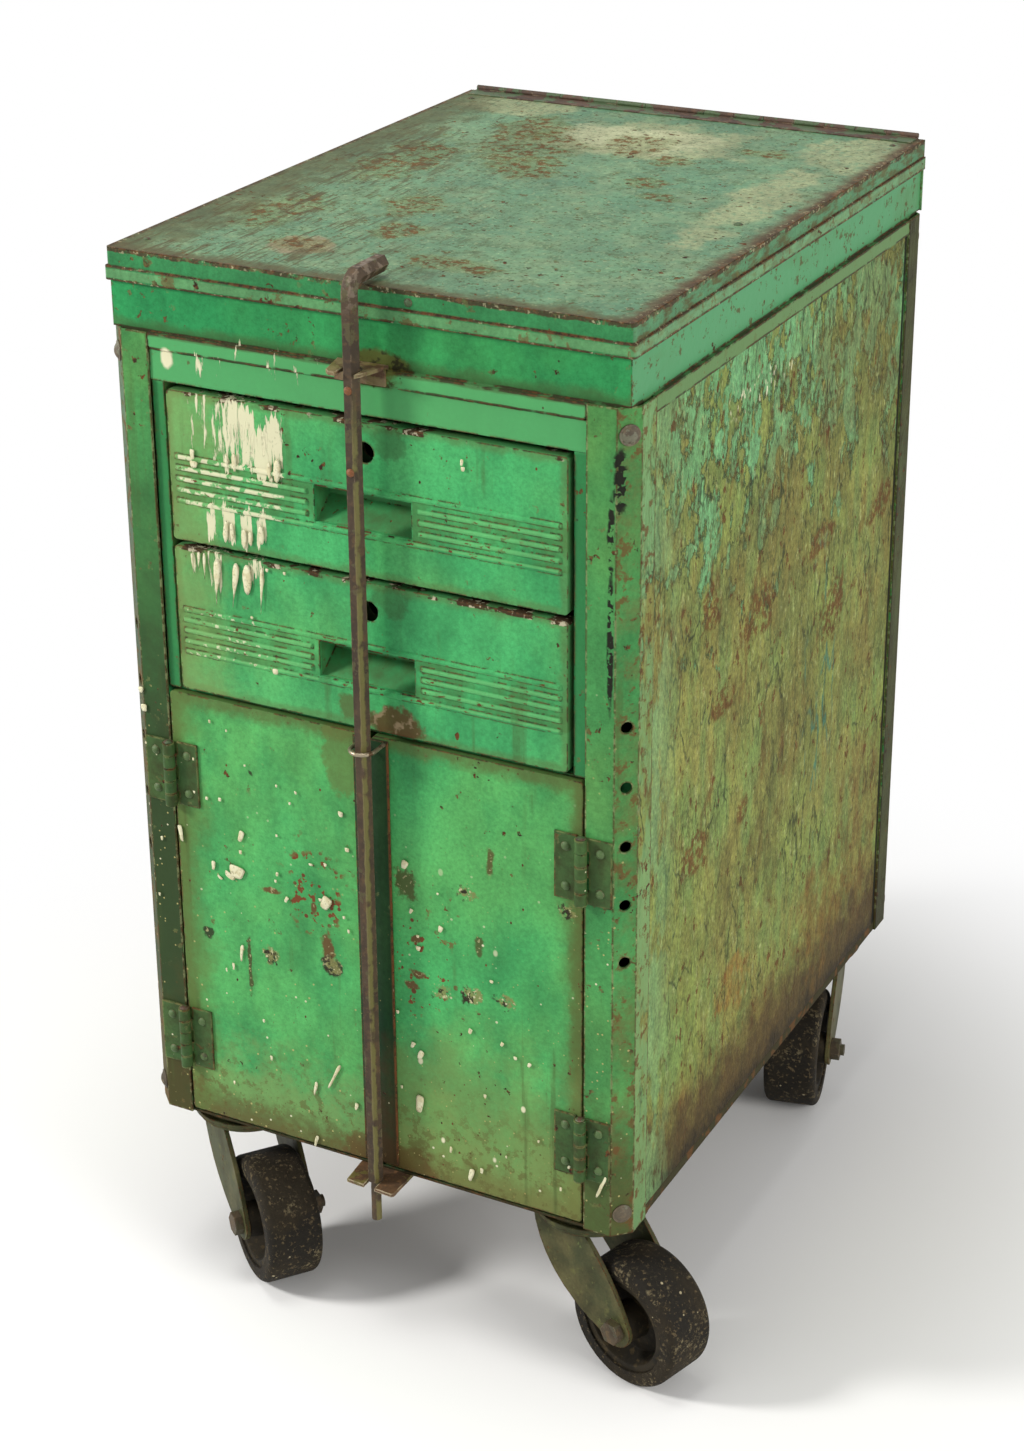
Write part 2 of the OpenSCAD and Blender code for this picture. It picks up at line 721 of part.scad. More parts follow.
module lid_hinge_fixed() color("darkslategray") place() {
    edge = lid_barrel_r + 0.6;
    lid_rows(1) {
        lid_knuckle_ring();
        difference() {
            span([0, lid_barrel_r - lid_leaf_t, -edge - eps], [lid_knuckle - knuckle_gap, lid_barrel_r, 0]);
            rotate([0, 90, 0]) translate([0, 0, -eps]) cylinder(d = lid_pin_d + 2 * pin_gap, h = lid_knuckle + 1);
        }
    }
    span([-lid_hinge_len / 2, strip_back, lid_axis_z - lid_leaf_w],
         [lid_hinge_len / 2, half_d, lid_axis_z - edge]);
}

module lid_hinge_pin() color("gray") place()
    translate([-lid_hinge_len / 2, lid_axis_y, lid_axis_z]) rotate([0, 90, 0])
        cylinder(d = lid_pin_d, h = lid_hinge_len);

module lid_screws() color("saddlebrown") place() {
    for (x = [-lid_half_w + screw_in, lid_half_w - screw_in], y = [lid_front + screw_end, lid_back - screw_end])
        translate([x, y, lid_top]) dome(screw_d, screw_d / 4);
    translate([lid_half_w - 2 * screw_in, lid_back - 0.54 * body_d, lid_top]) dome(screw_d + 2, screw_d / 3);
    translate([bar_x + hook_reach - 8, lid_front + hem_t, rim_z + hem_h + screw_d]) rotate([90, 0, 0])
        dome(screw_d + 1, screw_d * 0.4);
}

// The lock bar, its loop and its two guide plates
module lock_bar() color("sienna") place() {
    translate([bar_x, bar_y, bar_foot]) cylinder(r = bar_r, h = hook_z - hook_r - bar_foot, $fn = 6);
    translate([bar_x, bar_y + hook_r, hook_z - hook_r]) rotate([90, 0, 90]) rotate([0, 0, 90])
        rotate_extrude(angle = 90) translate([hook_r, 0]) rotate(30) circle(r = bar_r, $fn = 6);
    translate([bar_x, bar_y + hook_r, hook_z]) rotate([-90, 0, 0])
        cylinder(r = bar_r, h = hook_reach - hook_r, $fn = 6);
    translate([bar_x, bar_y, bar_foot - bar_pin_len]) cylinder(d = bar_pin_d, h = bar_pin_len + eps);
}

module lock_bar_rivets() color("saddlebrown") place()
    for (z = [guide_z - 12, guide_z - 77])
        translate([bar_x, bar_y - bar_af / 2, z]) rotate([90, 0, 0]) dome(7, 2);

module guide_plate_top() color("saddlebrown") place() {
    y = -inner_d - sheet;
    root = band_front - rest_gap;
    tip = bar_y - bar_af / 2 - 5;
    slot = bar_r + guide_gap;
    translate([0, 0, guide_z]) linear_extrude(guide_t) difference() {
        polygon([
            [bar_x - 24, root], [bar_x - 23, y], [bar_x - 18, tip + 4], [bar_x - 14, tip], [bar_x + slot, tip],
            [bar_x + slot + 5, bar_y], [bar_x + 20, root],
        ]);
        translate([bar_x, bar_y]) circle(slot);
        translate([bar_x - slot, tip - eps]) square([2 * slot, bar_y - tip + eps]);
    }
    span([bar_x - 24, y - 2, skirt_z + 1], [bar_x + 20, y, guide_z + eps]);
}

module guide_plate_bottom() color("saddlebrown") place() {
    tip = bar_y - 13.5;
    slot = bar_pin_d / 2 + guide_gap;
    translate([0, 0, base_z - guide_t]) linear_extrude(guide_t) difference() {
        polygon([
            [bar_x - 24, front_y + 45], [bar_x - 24, front_y - 2], [bar_x - 22, tip + 3],
            [bar_x + 22, tip], [bar_x + 24, tip + 2], [bar_x + 24, front_y + 45],
        ]);
        translate([bar_x, bar_y]) circle(slot);
        translate([bar_x - slot, tip - eps]) square([2 * slot, bar_y - tip + eps]);
    }
}

// Casters
module caster_plates() color("darkolivegreen") place() for (c = CASTERS) translate([c[0], c[1], 0]) {
    difference() {
        translate([-bolt_x - plate_rim, -bolt_y - plate_rim, plate_z]) linear_extrude(plate_t)
            round_rect(2 * (bolt_x + plate_rim), 2 * (bolt_y + plate_rim), plate_rim);
        for (x = [-bolt_x, bolt_x], y = [-bolt_y, bolt_y])
            translate([x, y, plate_z - eps]) cylinder(d = caster_bolt_d + 0.6, h = plate_t + 2 * eps);
    }
    translate([0, 0, race_z]) cylinder(d1 = crown_d - 20, d2 = crown_d - 34, h = race_h + eps);
    translate([0, 0, race_z]) cylinder(d = race_d, h = 3.5);
    translate([0, 0, crown_z - 5]) cylinder(d = kingpin_d, h = race_z - crown_z + 5 + eps);
    translate([0, 0, crown_z - 9 - rest_gap]) cylinder(d = kingpin_d + 10, h = 9, $fn = 6);
}

module caster_bolts() color("gray") place() for (c = CASTERS) translate([c[0], c[1], 0])
    for (x = [-bolt_x, bolt_x], y = [-bolt_y, bolt_y]) translate([x, y, 0]) {
        translate([0, 0, plate_z - 6.5]) cylinder(d = caster_head_d, h = 6.5, $fn = 6);
        translate([0, 0, plate_z - 1]) cylinder(d = caster_bolt_d, h = plate_t + 7);
        translate([0, 0, base_z + 2]) cylinder(d = caster_head_d, h = 5, $fn = 6);
    }

module at_caster(c) {
    translate([c[0], c[1], 0]) rotate([0, 0, c[2]]) children();
}

function curve(a, b, c, t) = a * (1 - t) * (1 - t) + b * 2 * t * (1 - t) + c * t * t;

// A leg sweeps back from the crown to the eye round the axle
module fork_leg() {
    back = -crown_d * 0.39;
    front = crown_d * 0.17;
    heel = [trail - eye_r * 0.75, axle_z - eye_r * 0.66];
    toe = [trail + eye_r * 0.82, axle_z + eye_r * 0.57];
    rear_edge = [for (i = [0 : 8]) curve([back, crown_z + 1], [back + 8, axle_z + 16], heel, i / 8)];
    front_edge = [for (i = [8 : -1 : 0]) curve([front, crown_z + 1], [trail - 4, axle_z + 48], toe, i / 8)];
    rotate([90, 0, 0]) linear_extrude(fork_t) difference() {
        union() {
            polygon(concat(rear_edge, front_edge));
            translate([trail, axle_z]) circle(eye_r);
        }
        translate([trail, axle_z]) circle(d = axle_d + 2 * pin_gap);
    }
}

module fork(c) {
    at_caster(c) {
        difference() {
            union() {
                translate([0, 0, crown_z]) cylinder(d = crown_d - 6, h = crown_h);
                translate([0, 0, crown_z + crown_h - 4]) cylinder(d = crown_d, h = 4);
            }
            translate([0, 0, crown_z - eps]) cylinder(d = kingpin_d + 2 * pin_gap, h = crown_h + 2 * eps);
        }
        for (y = [fork_in + fork_t, -fork_in]) translate([0, y, 0]) fork_leg();
    }
}

module axle(c) {
    end = fork_in + fork_t;
    at_caster(c) translate([trail, 0, axle_z]) rotate([90, 0, 0]) {
        translate([0, 0, -end - eps]) cylinder(d = axle_d, h = 2 * end + 2 * eps);
        translate([0, 0, end]) cylinder(d = axle_d * 1.75, h = 7.5, $fn = 6);
        translate([0, 0, -end - 9]) cylinder(d = axle_d * 1.75, h = 9, $fn = 6);
        translate([0, 0, -end - 13]) cylinder(d = axle_d - 1, h = 6);
    }
}

// The core is turned: a long hub, a dished web and a broad rim
module wheel(c) {
    hub = fork_in - 0.5;
    rim = tread_w / 2 - 2;
    bore_r = axle_d / 2 + pin_gap;
    hub_r = axle_d / 2 + hub_wall;
    inner_r = core_r - core_rim;
    web = web_t / 2;
    at_caster(c) translate([trail, 0, axle_z]) rotate([90, 0, 0]) rotate_extrude()
        polygon([
            [bore_r, -hub], [hub_r, -hub], [hub_r + 2, -web - 2], [inner_r - 6, -web], [inner_r, -rim],
            [core_r - pin_gap, -rim], [core_r - pin_gap, rim], [inner_r, rim], [inner_r - 6, web],
            [hub_r + 2, web + 2], [hub_r, hub], [bore_r, hub],
        ]);
}

module tyre(c) {
    at_caster(c) translate([trail, 0, axle_z]) rotate([90, 0, 0]) rotate_extrude() {
        translate([core_r, -tread_w / 2]) square([tyre_t - shoulder, tread_w]);
        translate([core_r, -tread_w / 2 + shoulder]) square([tyre_t, tread_w - 2 * shoulder]);
        for (y = [-1, 1]) translate([wheel_d / 2 - shoulder, y * (tread_w / 2 - shoulder)]) circle(shoulder);
    }
}

module fork_front_left() color("darkolivegreen") place() fork(CASTERS[0]);
module axle_front_left() color("dimgray") place() axle(CASTERS[0]);
module wheel_front_left() color("gray") place() wheel(CASTERS[0]);
module tyre_front_left() color("black") place() tyre(CASTERS[0]);

module fork_front_right() color("darkolivegreen") place() fork(CASTERS[1]);
module axle_front_right() color("dimgray") place() axle(CASTERS[1]);
module wheel_front_right() color("gray") place() wheel(CASTERS[1]);
module tyre_front_right() color("black") place() tyre(CASTERS[1]);

module fork_rear_right() color("darkolivegreen") place() fork(CASTERS[2]);
module axle_rear_right() color("dimgray") place() axle(CASTERS[2]);
module wheel_rear_right() color("gray") place() wheel(CASTERS[2]);
module tyre_rear_right() color("black") place() tyre(CASTERS[2]);

module fork_rear_left() color("darkolivegreen") place() fork(CASTERS[3]);
module axle_rear_left() color("dimgray") place() axle(CASTERS[3]);
module wheel_rear_left() color("gray") place() wheel(CASTERS[3]);
module tyre_rear_left() color("black") place() tyre(CASTERS[3]);

post_front_left();
post_front_right();
post_rear_left();
post_rear_right();
post_bolts();
side_panel_left();
side_panel_right();
back_panel();
bottom_pan();
till_band();
till_floor();
rear_strip();
front_rail();
cross_rail();
drawer_stiles();
drawer_runners();
guide_plate_top();
guide_plate_bottom();
post_hinge_leaves();
post_hinge_rivets();
door_hinge_pins();
lid_hinge_fixed();
lid_hinge_pin();
caster_plates();
caster_bolts();
lid_shell();
lid_hinge_leaf();
lid_screws();
drawer_upper_front();
drawer_upper_tray();
drawer_lower_front();
drawer_lower_tray();
door_left_panel();
door_left_strip();
door_left_loop();
door_left_leaves();
door_left_rivets();
door_right_panel();
door_right_leaves();
door_right_rivets();
lock_bar();
lock_bar_rivets();
fork_front_left();
axle_front_left();
wheel_front_left();
tyre_front_left();
fork_front_right();
axle_front_right();
wheel_front_right();
tyre_front_right();
fork_rear_right();
axle_rear_right();
wheel_rear_right();
tyre_rear_right();
fork_rear_left();
axle_rear_left();
wheel_rear_left();
tyre_rear_left();
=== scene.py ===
"""Looks of the rolling tool cabinet: old green enamel over rusting steel, worn casters and a forged bar."""

import math

import bpy
from mathutils import Matrix, Vector


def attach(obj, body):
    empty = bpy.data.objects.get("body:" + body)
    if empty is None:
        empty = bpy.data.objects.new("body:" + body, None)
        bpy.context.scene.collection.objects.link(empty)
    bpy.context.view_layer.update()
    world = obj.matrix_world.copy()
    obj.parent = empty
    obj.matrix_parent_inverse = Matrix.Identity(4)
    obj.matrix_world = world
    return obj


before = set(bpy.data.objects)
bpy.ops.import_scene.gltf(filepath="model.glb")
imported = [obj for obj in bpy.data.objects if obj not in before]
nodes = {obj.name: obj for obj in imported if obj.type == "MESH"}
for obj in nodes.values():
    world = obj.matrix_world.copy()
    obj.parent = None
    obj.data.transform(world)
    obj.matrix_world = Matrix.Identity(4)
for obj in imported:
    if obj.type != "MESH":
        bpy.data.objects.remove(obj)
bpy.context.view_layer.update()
scene = bpy.context.scene

# Viewpoint
# A long lens stands to the right of the front and looks down on it, as in the photograph.
# The lens is lowered a little behind its board, which is what the small shift stands for.
MIDDLE = Vector((-0.027918, 0.0142318, 0))


def from_middle(x, y, z):
    """A point given in millimetres from the middle of the body, in the frame's metres."""
    return MIDDLE + Vector((x, y, z)) / 1000


CAMERA_AT = from_middle(1032.17, -2029.87, 1533.99)
CAMERA_TURN, CAMERA_DOWN, CAMERA_ROLL = (math.radians(a) for a in (27.62, 23.0402, -0.4082))
FILM_WIDTH, FOCAL_LENGTH, LENS_DROP, SEES_TO = 36, 69.8527, -0.0865, 50
ahead = Vector(
    (
        -math.sin(CAMERA_TURN) * math.cos(CAMERA_DOWN),
        math.cos(CAMERA_TURN) * math.cos(CAMERA_DOWN),
        -math.sin(CAMERA_DOWN),
    )
)
level_right = Vector((math.cos(CAMERA_TURN), math.sin(CAMERA_TURN), 0))
level_up = level_right.cross(ahead)
right = math.cos(CAMERA_ROLL) * level_right + math.sin(CAMERA_ROLL) * level_up
up = right.cross(ahead)
camera = bpy.data.objects.new("camera", bpy.data.cameras.new("camera"))
scene.collection.objects.link(camera)
camera.data.sensor_width = FILM_WIDTH
camera.data.lens = FOCAL_LENGTH
camera.data.shift_y = LENS_DROP
camera.data.clip_end = SEES_TO
camera.matrix_world = Matrix.Translation(CAMERA_AT) @ Matrix((right, up, -ahead)).transposed().to_4x4()
scene.camera = camera
scene.view_settings.view_transform = "Standard"

# Light
# A broad lamp far round to the left throws the bar's soft shadow to the right across the drawers,
# a second one lights the right side, and a pale sky fills in.
SKY_LEVEL = 0.4
LAMP_WHITE = (1, 0.985, 0.95)
world = bpy.data.worlds.new("sky")
scene.world = world
world.use_nodes = True
sky = world.node_tree.nodes["Background"]
sky.inputs["Color"].default_value = (1, 1, 1, 1)


def lamp(name, place, aim, size, watts):
    """A round lamp at a place and turned to a point, both in millimetres from the middle of the body."""
    data = bpy.data.lights.new(name, "AREA")
    data.shape = "DISK"
    data.size = size
    data.energy = watts
    data.color = LAMP_WHITE
    obj = bpy.data.objects.new(name, data)
    obj.location = from_middle(*place)
    obj.rotation_euler = (from_middle(*aim) - obj.location).to_track_quat("-Z", "Y").to_euler()
    scene.collection.objects.link(obj)


lamp("key", (-2300, -1700, 1900), (0, -200, 560), 0.6, 80)
lamp("side", (2900, -700, 1500), (200, 0, 500), 1.6, 52)
lamp("above", (-200, -300, 3200), (0, 0, 700), 1.5, 30)

# Floor
# A pale sweep, which keeps the cabinet's shadow and fades into the white behind it.
WHITE_FROM, WHITE_AT = 0.3, 0.95
FLOOR_WIDTH, FLOOR_GREY = 30, (0.9, 0.9, 0.9, 1)


def plug(tree, node, fed):
    """Links or types into each socket of a node what it is fed."""
    for socket, value in dict(fed).items():
        value = getattr(value, "socket", value)
        if isinstance(value, bpy.types.NodeSocket):
            tree.links.new(value, node.inputs[socket])
        else:
            node.inputs[socket].default_value = value
    return node


def new_node(tree, kind, fed=(), **settings):
    """A new node, set up and fed."""
    node = tree.nodes.new(kind)
    for key, value in settings.items():
        setattr(node, key, value)
    return plug(tree, node, fed)


def seen_rays(tree):
    """1 for what the lens sees, straight or in a reflection or through glass."""
    rays = new_node(tree, "ShaderNodeLightPath")
    seen = rays.outputs["Is Camera Ray"]
    for name in ("Is Glossy Ray", "Is Transmission Ray"):
        either = new_node(tree, "ShaderNodeMath", {0: seen, 1: rays.outputs[name]}, operation="MAXIMUM")
        seen = either.outputs[0]
    return seen


sky_tree = world.node_tree
backdrop = new_node(sky_tree, "ShaderNodeMath", {0: seen_rays(sky_tree), 1: SKY_LEVEL}, operation="MAXIMUM")
plug(sky_tree, sky, {"Strength": backdrop.outputs[0]})

bpy.ops.mesh.primitive_plane_add(size=FLOOR_WIDTH, location=(0, 0, 0))
floor = bpy.context.object
floor.name = "floor"
floor_paint = bpy.data.materials.new("floor_paint")
floor_paint.use_nodes = True
tree = floor_paint.node_tree
matt = tree.nodes["Principled BSDF"]
plug(tree, matt, {"Base Color": FLOOR_GREY, "Roughness": 0.9, "Specular IOR Level": 0.0})
place = new_node(tree, "ShaderNodeTexCoord").outputs["Object"]
reach = new_node(tree, "ShaderNodeVectorMath", {0: place}, operation="LENGTH").outputs["Value"]
span = {"Value": reach, "From Min": WHITE_FROM, "From Max": WHITE_AT}
fade = new_node(tree, "ShaderNodeMapRange", span, interpolation_type="SMOOTHERSTEP").outputs["Result"]
far_seen = new_node(tree, "ShaderNodeMath", {0: fade, 1: seen_rays(tree)}, operation="MULTIPLY")
glow = new_node(tree, "ShaderNodeEmission")
shades = {0: far_seen.outputs[0], 1: matt.outputs[0], 2: glow.outputs[0]}
blend = new_node(tree, "ShaderNodeMixShader", shades)
plug(tree, tree.nodes["Material Output"], {"Surface": blend.outputs[0]})
floor.data.materials.append(floor_paint)

# Front sheets: corner posts, rails, till band
# Folded sheet steel, sprayed emerald green long ago. The enamel is chipped to rust along its edges,
# greasy where hands and tools rub, and spotted with cream wall paint.


def tint(red, green, blue):
    """A colour as the eye reads it, 0 to 255, made linear for the shader."""
    level = [c / 255 for c in (red, green, blue)]
    return tuple(c / 12.92 if c <= 0.04045 else ((c + 0.055) / 1.055) ** 2.4 for c in level) + (1.0,)


RUST, DARK_RUST = (98, 58, 34), (46, 34, 26)
GRIME, OIL = (66, 66, 34), (38, 36, 22)
CREAM, BEIGE = (216, 212, 178), (176, 166, 108)


def joined(operation, turned=False):
    """What a sign between two values makes: a Math node of the finish that they belong to."""
    if turned:
        return lambda value, left: value.coat.math(operation, left, value)
    return lambda value, right: value.coat.math(operation, value, right)


class Value:
    """A number that varies over a surface. Between masks, * is both, | is either and ~ is all the rest."""

    def __init__(self, coat, socket):
        self.coat, self.socket = coat, socket

    __add__, __radd__ = joined("ADD"), joined("ADD", True)
    __sub__, __rsub__ = joined("SUBTRACT"), joined("SUBTRACT", True)
    __mul__, __rmul__ = joined("MULTIPLY"), joined("MULTIPLY", True)
    __or__, __and__ = joined("MAXIMUM"), joined("MINIMUM")

    def __invert__(self):
        return 1.0 - self

    def __abs__(self):
        return self.coat.math("ABSOLUTE", self)

    def ease(self, low, high):
        return self.coat.ease(self, low, high)

    def patch(self, size, low, high, **kind):
        """This mask broken up into patches."""
        return self * self.coat.patch(size, low, high, **kind)

    def strip(self, low, high, ragged=0.0, size=0.015, soft=0.0005):
        """1 between two heights, widths or depths in metres, with ragged edges."""
        value = self + self.coat.shaken(size, ragged) if ragged else self
        return value.ease(low - soft, low + soft) * value.ease(high + soft, high - soft)


class Finish:
    """One surface, laid down layer by layer as the real one was, in metres from the middle of the body."""

    def __init__(self, name, colour, roughness, seed, metallic=0.0, round_edge=0.0016, sheen=0.14):
        self.material = bpy.data.materials.new(name)
        self.material.use_nodes = True
        self.tree = self.material.node_tree
        self.shader = self.tree.nodes["Principled BSDF"]
        plug(self.tree, self.shader, {"Metallic": metallic, "Specular IOR Level": sheen})
        self.colour, self.roughness, self.height = tint(*colour), roughness, 0.0
        coordinates = self.add("TexCoord")
        self.where = self.add("Mapping", {"Vector": coordinates["Object"], "Location": -MIDDLE})["Vector"]
        self.facing = coordinates["Normal"]
        self.x, self.y, self.z = self.parts(self.where)
        self.round_edge, self.seed = round_edge, seed

    def add(self, kind, fed=(), **settings):
        """The outputs of a new node."""
        return new_node(self.tree, "ShaderNode" + kind, fed, **settings).outputs

    def parts(self, vector):
        return [Value(self, part) for part in self.add("SeparateXYZ", {"Vector": vector})]

    def math(self, operation, a, b=0.0):
        return Value(self, self.add("Math", {0: a, 1: b}, operation=operation)[0])

    def vector(self, operation, a, b=(0, 0, 0), **fed):
        return self.add("VectorMath", {0: a, 1: b} | fed, operation=operation)

    def ease(self, value, low, high):
        """0 below low and 1 above high, or the other way round where high is the smaller."""
        flip = high < low
        ends = {"From Min": min(low, high), "From Max": max(low, high)}
        results = {"To Min": float(flip), "To Max": float(not flip)}
        eased = self.add("MapRange", {"Value": value} | ends | results, interpolation_type="SMOOTHSTEP")
        return Value(self, eased["Result"])

    def moved(self, tall=1, wide=(1, 1), turn=(0, 0, 0)):
        """The place on the body, scaled, turned and set off so that no two patterns line up."""
        self.seed += 1
        offset = [self.seed * step for step in (1.37, 2.11, 0.73)]
        fed = {"Vector": self.where, "Location": offset, "Rotation": turn, "Scale": (*wide, tall)}
        return self.add("Mapping", fed)["Vector"]

    def noise(self, size, detail=3.0, rough=0.55, **kind):
        """Cloudy noise from about 0.25 to 0.75, with features of the given size in metres."""
        fed = {"Vector": self.moved(**kind), "Scale": 1 / size, "Detail": detail, "Roughness": rough}
        return Value(self, self.add("TexNoise", fed)["Fac"])

    def shaken(self, size, reach):
        """What makes an edge ragged: noise about zero, in metres."""
        return (self.noise(size, detail=5, rough=0.65) - 0.5) * (reach * 4)

    def patch(self, size, low, high, **kind):
        return self.noise(size, **kind).ease(low, high)

    def dots(self, pitch, share, size, tall=1):
        """Splashed dots: one cell in so many has one, each with a size of its own."""
        cells = self.add("TexVoronoi", {"Vector": self.moved(tall), "Scale": 1 / pitch})
        drawn, girth = self.add("SeparateColor", {"Color": cells["Color"]})[:2]
        inside = (Value(self, girth) + 0.25) * (size / pitch * 0.8) - cells["Distance"]
        return inside.ease(0.0, 0.05) * self.ease(drawn, share, share - 0.01)

    def cracks(self, size, width, tall=1):
        """Thin wandering lines, as where a coat of paint has crazed."""
        place = self.moved(tall)
        wobble = self.add("TexNoise", {"Vector": place, "Scale": 2.5 / size, "Detail": 3})["Color"]
        bend = self.vector("SCALE", wobble, Scale=size * 0.7)[0]
        fed = {"Vector": self.vector("ADD", place, bend)[0], "Scale": 1 / size}
        cells = self.add("TexVoronoi", fed, feature="DISTANCE_TO_EDGE")
        return self.ease(cells["Distance"], width / size, 0.0)

    def near(self, place, radii, ragged=0.5, size=0.02):
        """1 inside an egg-shaped region at a place given in millimetres, with a ragged edge."""
        shift = self.vector("SUBTRACT", self.where, Vector(place) / 1000)[0]
        scaled = self.vector("DIVIDE", shift, Vector(radii) / 1000)[0]
        length = Value(self, self.vector("LENGTH", scaled)["Value"])
        return (length + self.shaken(size, ragged)).ease(1.15, 0.7)

    def spot(self, x, z, wide, tall, ragged=0.5, size=0.02):
        """1 on a ragged spot of the drawers' or the doors' face, in millimetres."""
        return self.near((x, -303, z), (wide, 20, tall), ragged, size)

    def outline(self, left, right_side, low, high, reach):
        """1 at the outline of an upright sheet, fading inwards over the reach given."""
        sides = (self.x - left) & (right_side - self.x)
        ends = (self.z - low) & (high - self.z)
        return (sides & ends).ease(reach, 0.0)

    def side(self, axis, sign=1.0, low=0.6, high=0.8):
        """1 where the surface faces along an axis of the body."""
        return (self.parts(self.facing)[axis] * sign).ease(low, high)

    def rounded(self, share=1):
        """The way the surface would face if its edges were rounded off."""
        return self.add("Bevel", {"Radius": self.round_edge * share}, samples=6)["Normal"]

    def edges(self, low=0.02, high=0.12):
        """1 along the folded and cut edges of the sheet, 0 on its flats."""
        turned = self.vector("DOT_PRODUCT", self.rounded(1.8), self.add("NewGeometry")["Normal"])
        return self.math("SUBTRACT", 1.0, turned["Value"]).ease(low, high)

    def lay(self, mask, colour, roughness=None, rise=0.0, share=1.0):
        """Lays a coat, film or stain over what is there, where the mask lets it."""
        if share != 1.0:
            mask = mask * share
        self.colour = self.add("Mix", {0: mask, 6: self.colour, 7: tint(*colour)}, data_type="RGBA")[2]
        if roughness is not None:
            self.roughness = self.add("Mix", {0: mask, 2: self.roughness, 3: roughness})[0]
        if rise:
            self.relief(mask, rise)

    def relief(self, pattern, rise):
        self.height = self.height + pattern * rise

    def mottle(self, size, depth, **kind):
        """Lightens and darkens what is there in patches of the given size, by up to the share given."""
        level = ((self.noise(size, **kind) - 0.5) * (depth * 4) + 1.0) | 0.15
        fed = {0: 1.0, 6: self.colour, 7: level}
        self.colour = self.add("Mix", fed, data_type="RGBA", blend_type="MULTIPLY")[2]

    def smoke(self, where, colour, share=0.8, size=0.04, rough=0.62):
        """A soft-edged cloud of dirt, thick where the mask is high and thinning out raggedly."""
        cloud = (self.noise(size, detail=7, rough=rough) - 0.5) * 1.7
        thick = (where + cloud).ease(0.2, 0.95)
        self.lay(thick * self.ease(where, 0.0, 0.15), colour, 0.65, share=share)

    def done(self):
        """Joins up what was laid down, with every edge rounded, and gives the material."""
        fed = {"Strength": 1.0, "Distance": 1.0, "Height": self.height, "Normal": self.rounded()}
        normal = self.add("Bump", fed)["Normal"]
        look = {"Base Color": self.colour, "Roughness": self.roughness, "Normal": normal}
        plug(self.tree, self.shader, look)
        return self.material


def dress(material, *names):
    """Puts a finish on the named pieces of the CAD."""
    for name in names:
        for held in nodes[name].material_slots:
            held.material = material


def enamel(name, seed, colour):
    """The emerald coat itself, with the cloudy fading and dusty grain that it has everywhere."""
    coat = Finish(name, colour, 0.42, seed)
    faded = [c * share for c, share in zip(colour, (1.5, 1.05, 0.96))]
    deep = [c * share for c, share in zip(colour, (0.7, 0.84, 0.84))]
    coat.lay(coat.patch(0.22, 0.42, 0.66), faded, share=0.5)
    coat.lay(coat.patch(0.05, 0.42, 0.7, detail=6, tall=0.6), deep, share=0.6)
    coat.mottle(0.0035, 0.28, detail=5, rough=0.75)
    coat.mottle(0.03, 0.24, detail=4, tall=0.5)
    coat.relief(coat.noise(0.012, detail=4, rough=0.6), 0.0004)
    return coat


def streaks(coat, share=0.45):
    """Thin brown runs of dirty water down the sheet."""
    run = coat.patch(0.014, 0.56, 0.68, detail=4, tall=0.05)
    coat.lay(run.patch(0.1, 0.45, 0.6), (70, 82, 40), 0.5, share=share)


def chipping(coat, amount):
    """Flakes of lost enamel, down to brown rust, and the worn edges of the sheet."""
    ragged = coat.noise(0.009, detail=6, rough=0.62)
    region = coat.patch(0.07, 0.46, 0.62)
    limit = 0.655 - amount
    flake = ragged.ease(limit, limit + 0.012) * region
    specks = coat.dots(0.011, 0.16, 0.0016, tall=0.7)
    wear = coat.edges() * coat.patch(0.016, 0.47, 0.5, detail=6, rough=0.7)
    flake = flake | specks | wear
    coat.lay(flake.ease(0.02, 0.2), (112, 140, 84), share=0.4)
    coat.lay(flake, RUST, 0.85, rise=-0.0003)
    coat.lay(flake.patch(0.004, 0.42, 0.58), DARK_RUST, 0.8)


def spatter(coat, where, colour, pitch, share, size):
    """Fine dried spots of muddy water or oil, thickest where the mask is high."""
    coat.lay(where * coat.dots(pitch, share, size), colour, 0.7, share=0.85)
    coat.lay(where * coat.dots(pitch * 0.45, share, size * 0.5), colour, 0.7, share=0.7)


def splashes(coat, where):
    """Cream wall paint, flicked on from below."""
    coat.lay(where * coat.dots(0.024, 0.22, 0.0032, tall=0.7), CREAM, 0.45, rise=0.0003)
    coat.lay(where * coat.dots(0.01, 0.2, 0.0017), CREAM, 0.45, rise=0.0002, share=0.9)
    coat.lay(where * coat.dots(0.0045, 0.2, 0.0011), BEIGE, 0.5, share=0.8)


MINT = (100, 156, 102)
OLIVE = (122, 134, 66)


